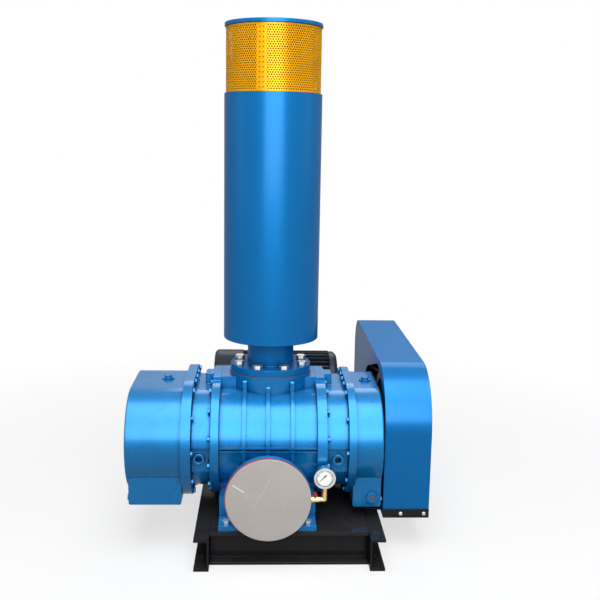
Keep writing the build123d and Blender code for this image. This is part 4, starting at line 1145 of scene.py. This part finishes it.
class PUMP_OT_stage(bpy.types.Operator):
    """Lay the floor, hang the lights and stand the camera"""

    bl_idname = "pump.stage"
    bl_label = "Stage"

    def execute(self, context):
        stage = context.scene.pump_stage
        self.floor()
        self.lights(stage)
        self.world(stage)
        self.camera(context, stage)
        context.scene.view_settings.view_transform = "Standard"
        return {"FINISHED"}

    def floor(self):
        floor = fresh(bpy.ops.mesh.primitive_plane_add, size=24.0)
        floor.name = "floor"
        floor.data.materials.append(floor_material())

    def lights(self, stage):
        """Two big lights, each with a twin that only reflections see, and three dim ones."""
        aim = (-0.05, -0.25, 0.6)
        for name, place, target, high, power in (
                ("front_light", (0.1, -4.3, 2.7), (0.1, 0.0, 2.7), 3.4, stage.key),
                ("top_light", (0.1, -2.1, 4.5), (0.1, -2.09, 0.0), 4.4, stage.top)):
            area_light(name, place, target, 3.2, high, power)
            shine = area_light(name + "_sheen", place, target, 3.2, high, power * (stage.sheen - 1.0))
            shine.visible_diffuse = False
            shine.visible_transmission = False
        side = 0.1 * stage.key
        area_light("left_light", (-3.6, -0.8, 2.2), aim, 2.0, 3.0, side)
        area_light("right_light", (3.6, -0.4, 2.4), aim, 2.0, 3.0, side)
        area_light("back_light", (0.6, 3.8, 3.2), aim, 3.0, 2.0, 0.5 * stage.key)

    def world(self, stage):
        """White for the camera, mirrors and glass, a soft even light for everything else."""
        world = bpy.data.worlds.new("studio")
        bpy.context.scene.world = world
        world.use_nodes = True
        tree = world.node_tree
        room = tree.nodes["Background"]
        room.inputs["Color"].default_value = (0.93, 0.96, 1.0, 1.0)
        room.inputs["Strength"].default_value = stage.fill
        white = tree.nodes.new("ShaderNodeBackground")
        white.inputs["Color"].default_value = (1.0, 1.0, 1.0, 1.0)
        blend_shaders(tree, background_rays(tree), room.outputs["Background"],
                      white.outputs["Background"], "World Output")

    def camera(self, context, stage):
        forward = Vector((sin(stage.yaw) * cos(stage.pitch), cos(stage.yaw) * cos(stage.pitch),
                          -sin(stage.pitch)))
        level = Vector((cos(stage.yaw), -sin(stage.yaw), 0.0))
        upright = level.cross(forward)
        right = cos(stage.roll) * level + sin(stage.roll) * upright
        up = cos(stage.roll) * upright - sin(stage.roll) * level
        data = bpy.data.cameras.new("photo_camera")
        data.sensor_width = 36.0
        data.lens = stage.focal
        camera = bpy.data.objects.new("photo_camera", data)
        context.scene.collection.objects.link(camera)
        turned = Matrix((right, up, -forward)).transposed().to_4x4()
        camera.matrix_world = Matrix.Translation(Vector(stage.camera)) @ turned
        context.scene.camera = camera


# Add-on frame

OPERATORS = (
    PUMP_OT_base, PUMP_OT_castings, PUMP_OT_bolts, PUMP_OT_outlet, PUMP_OT_screen, PUMP_OT_silencer,
    PUMP_OT_guard, PUMP_OT_motor, PUMP_OT_rotors, PUMP_OT_gauge, PUMP_OT_stage)


class PUMP_PT_panel(bpy.types.Panel):
    """The pump's settings and its build steps"""

    bl_idname = "PUMP_PT_panel"
    bl_label = "Roots vacuum pump"
    bl_space_type = "VIEW_3D"
    bl_region_type = "UI"
    bl_category = "Pump"

    def draw(self, context):
        scene = context.scene
        for group in (scene.pump_finish, scene.pump_details, scene.pump_stage):
            box = self.layout.box()
            for name in group.__annotations__:
                box.prop(group, name)
        for step in OPERATORS:
            self.layout.operator(step.bl_idname)


GROUPS_OF_PROPERTIES = {"pump_finish": PumpFinish, "pump_details": PumpDetails, "pump_stage": PumpStage}


def register():
    for name, group in GROUPS_OF_PROPERTIES.items():
        bpy.utils.register_class(group)
        setattr(bpy.types.Scene, name, bpy.props.PointerProperty(type=group))
    for step in OPERATORS:
        bpy.utils.register_class(step)
    bpy.utils.register_class(PUMP_PT_panel)


def unregister():
    bpy.utils.unregister_class(PUMP_PT_panel)
    for step in reversed(OPERATORS):
        bpy.utils.unregister_class(step)
    for name, group in GROUPS_OF_PROPERTIES.items():
        delattr(bpy.types.Scene, name)
        bpy.utils.unregister_class(group)


def main():
    register()
    bpy.ops.pump.base()
    bpy.ops.pump.castings()
    bpy.ops.pump.bolts()
    bpy.ops.pump.outlet()
    bpy.ops.pump.screen()
    bpy.ops.pump.silencer()
    bpy.ops.pump.guard()
    bpy.ops.pump.motor()
    bpy.ops.pump.rotors()
    bpy.ops.pump.gauge()
    bpy.ops.pump.stage()


if __name__ == "__main__":
    main()
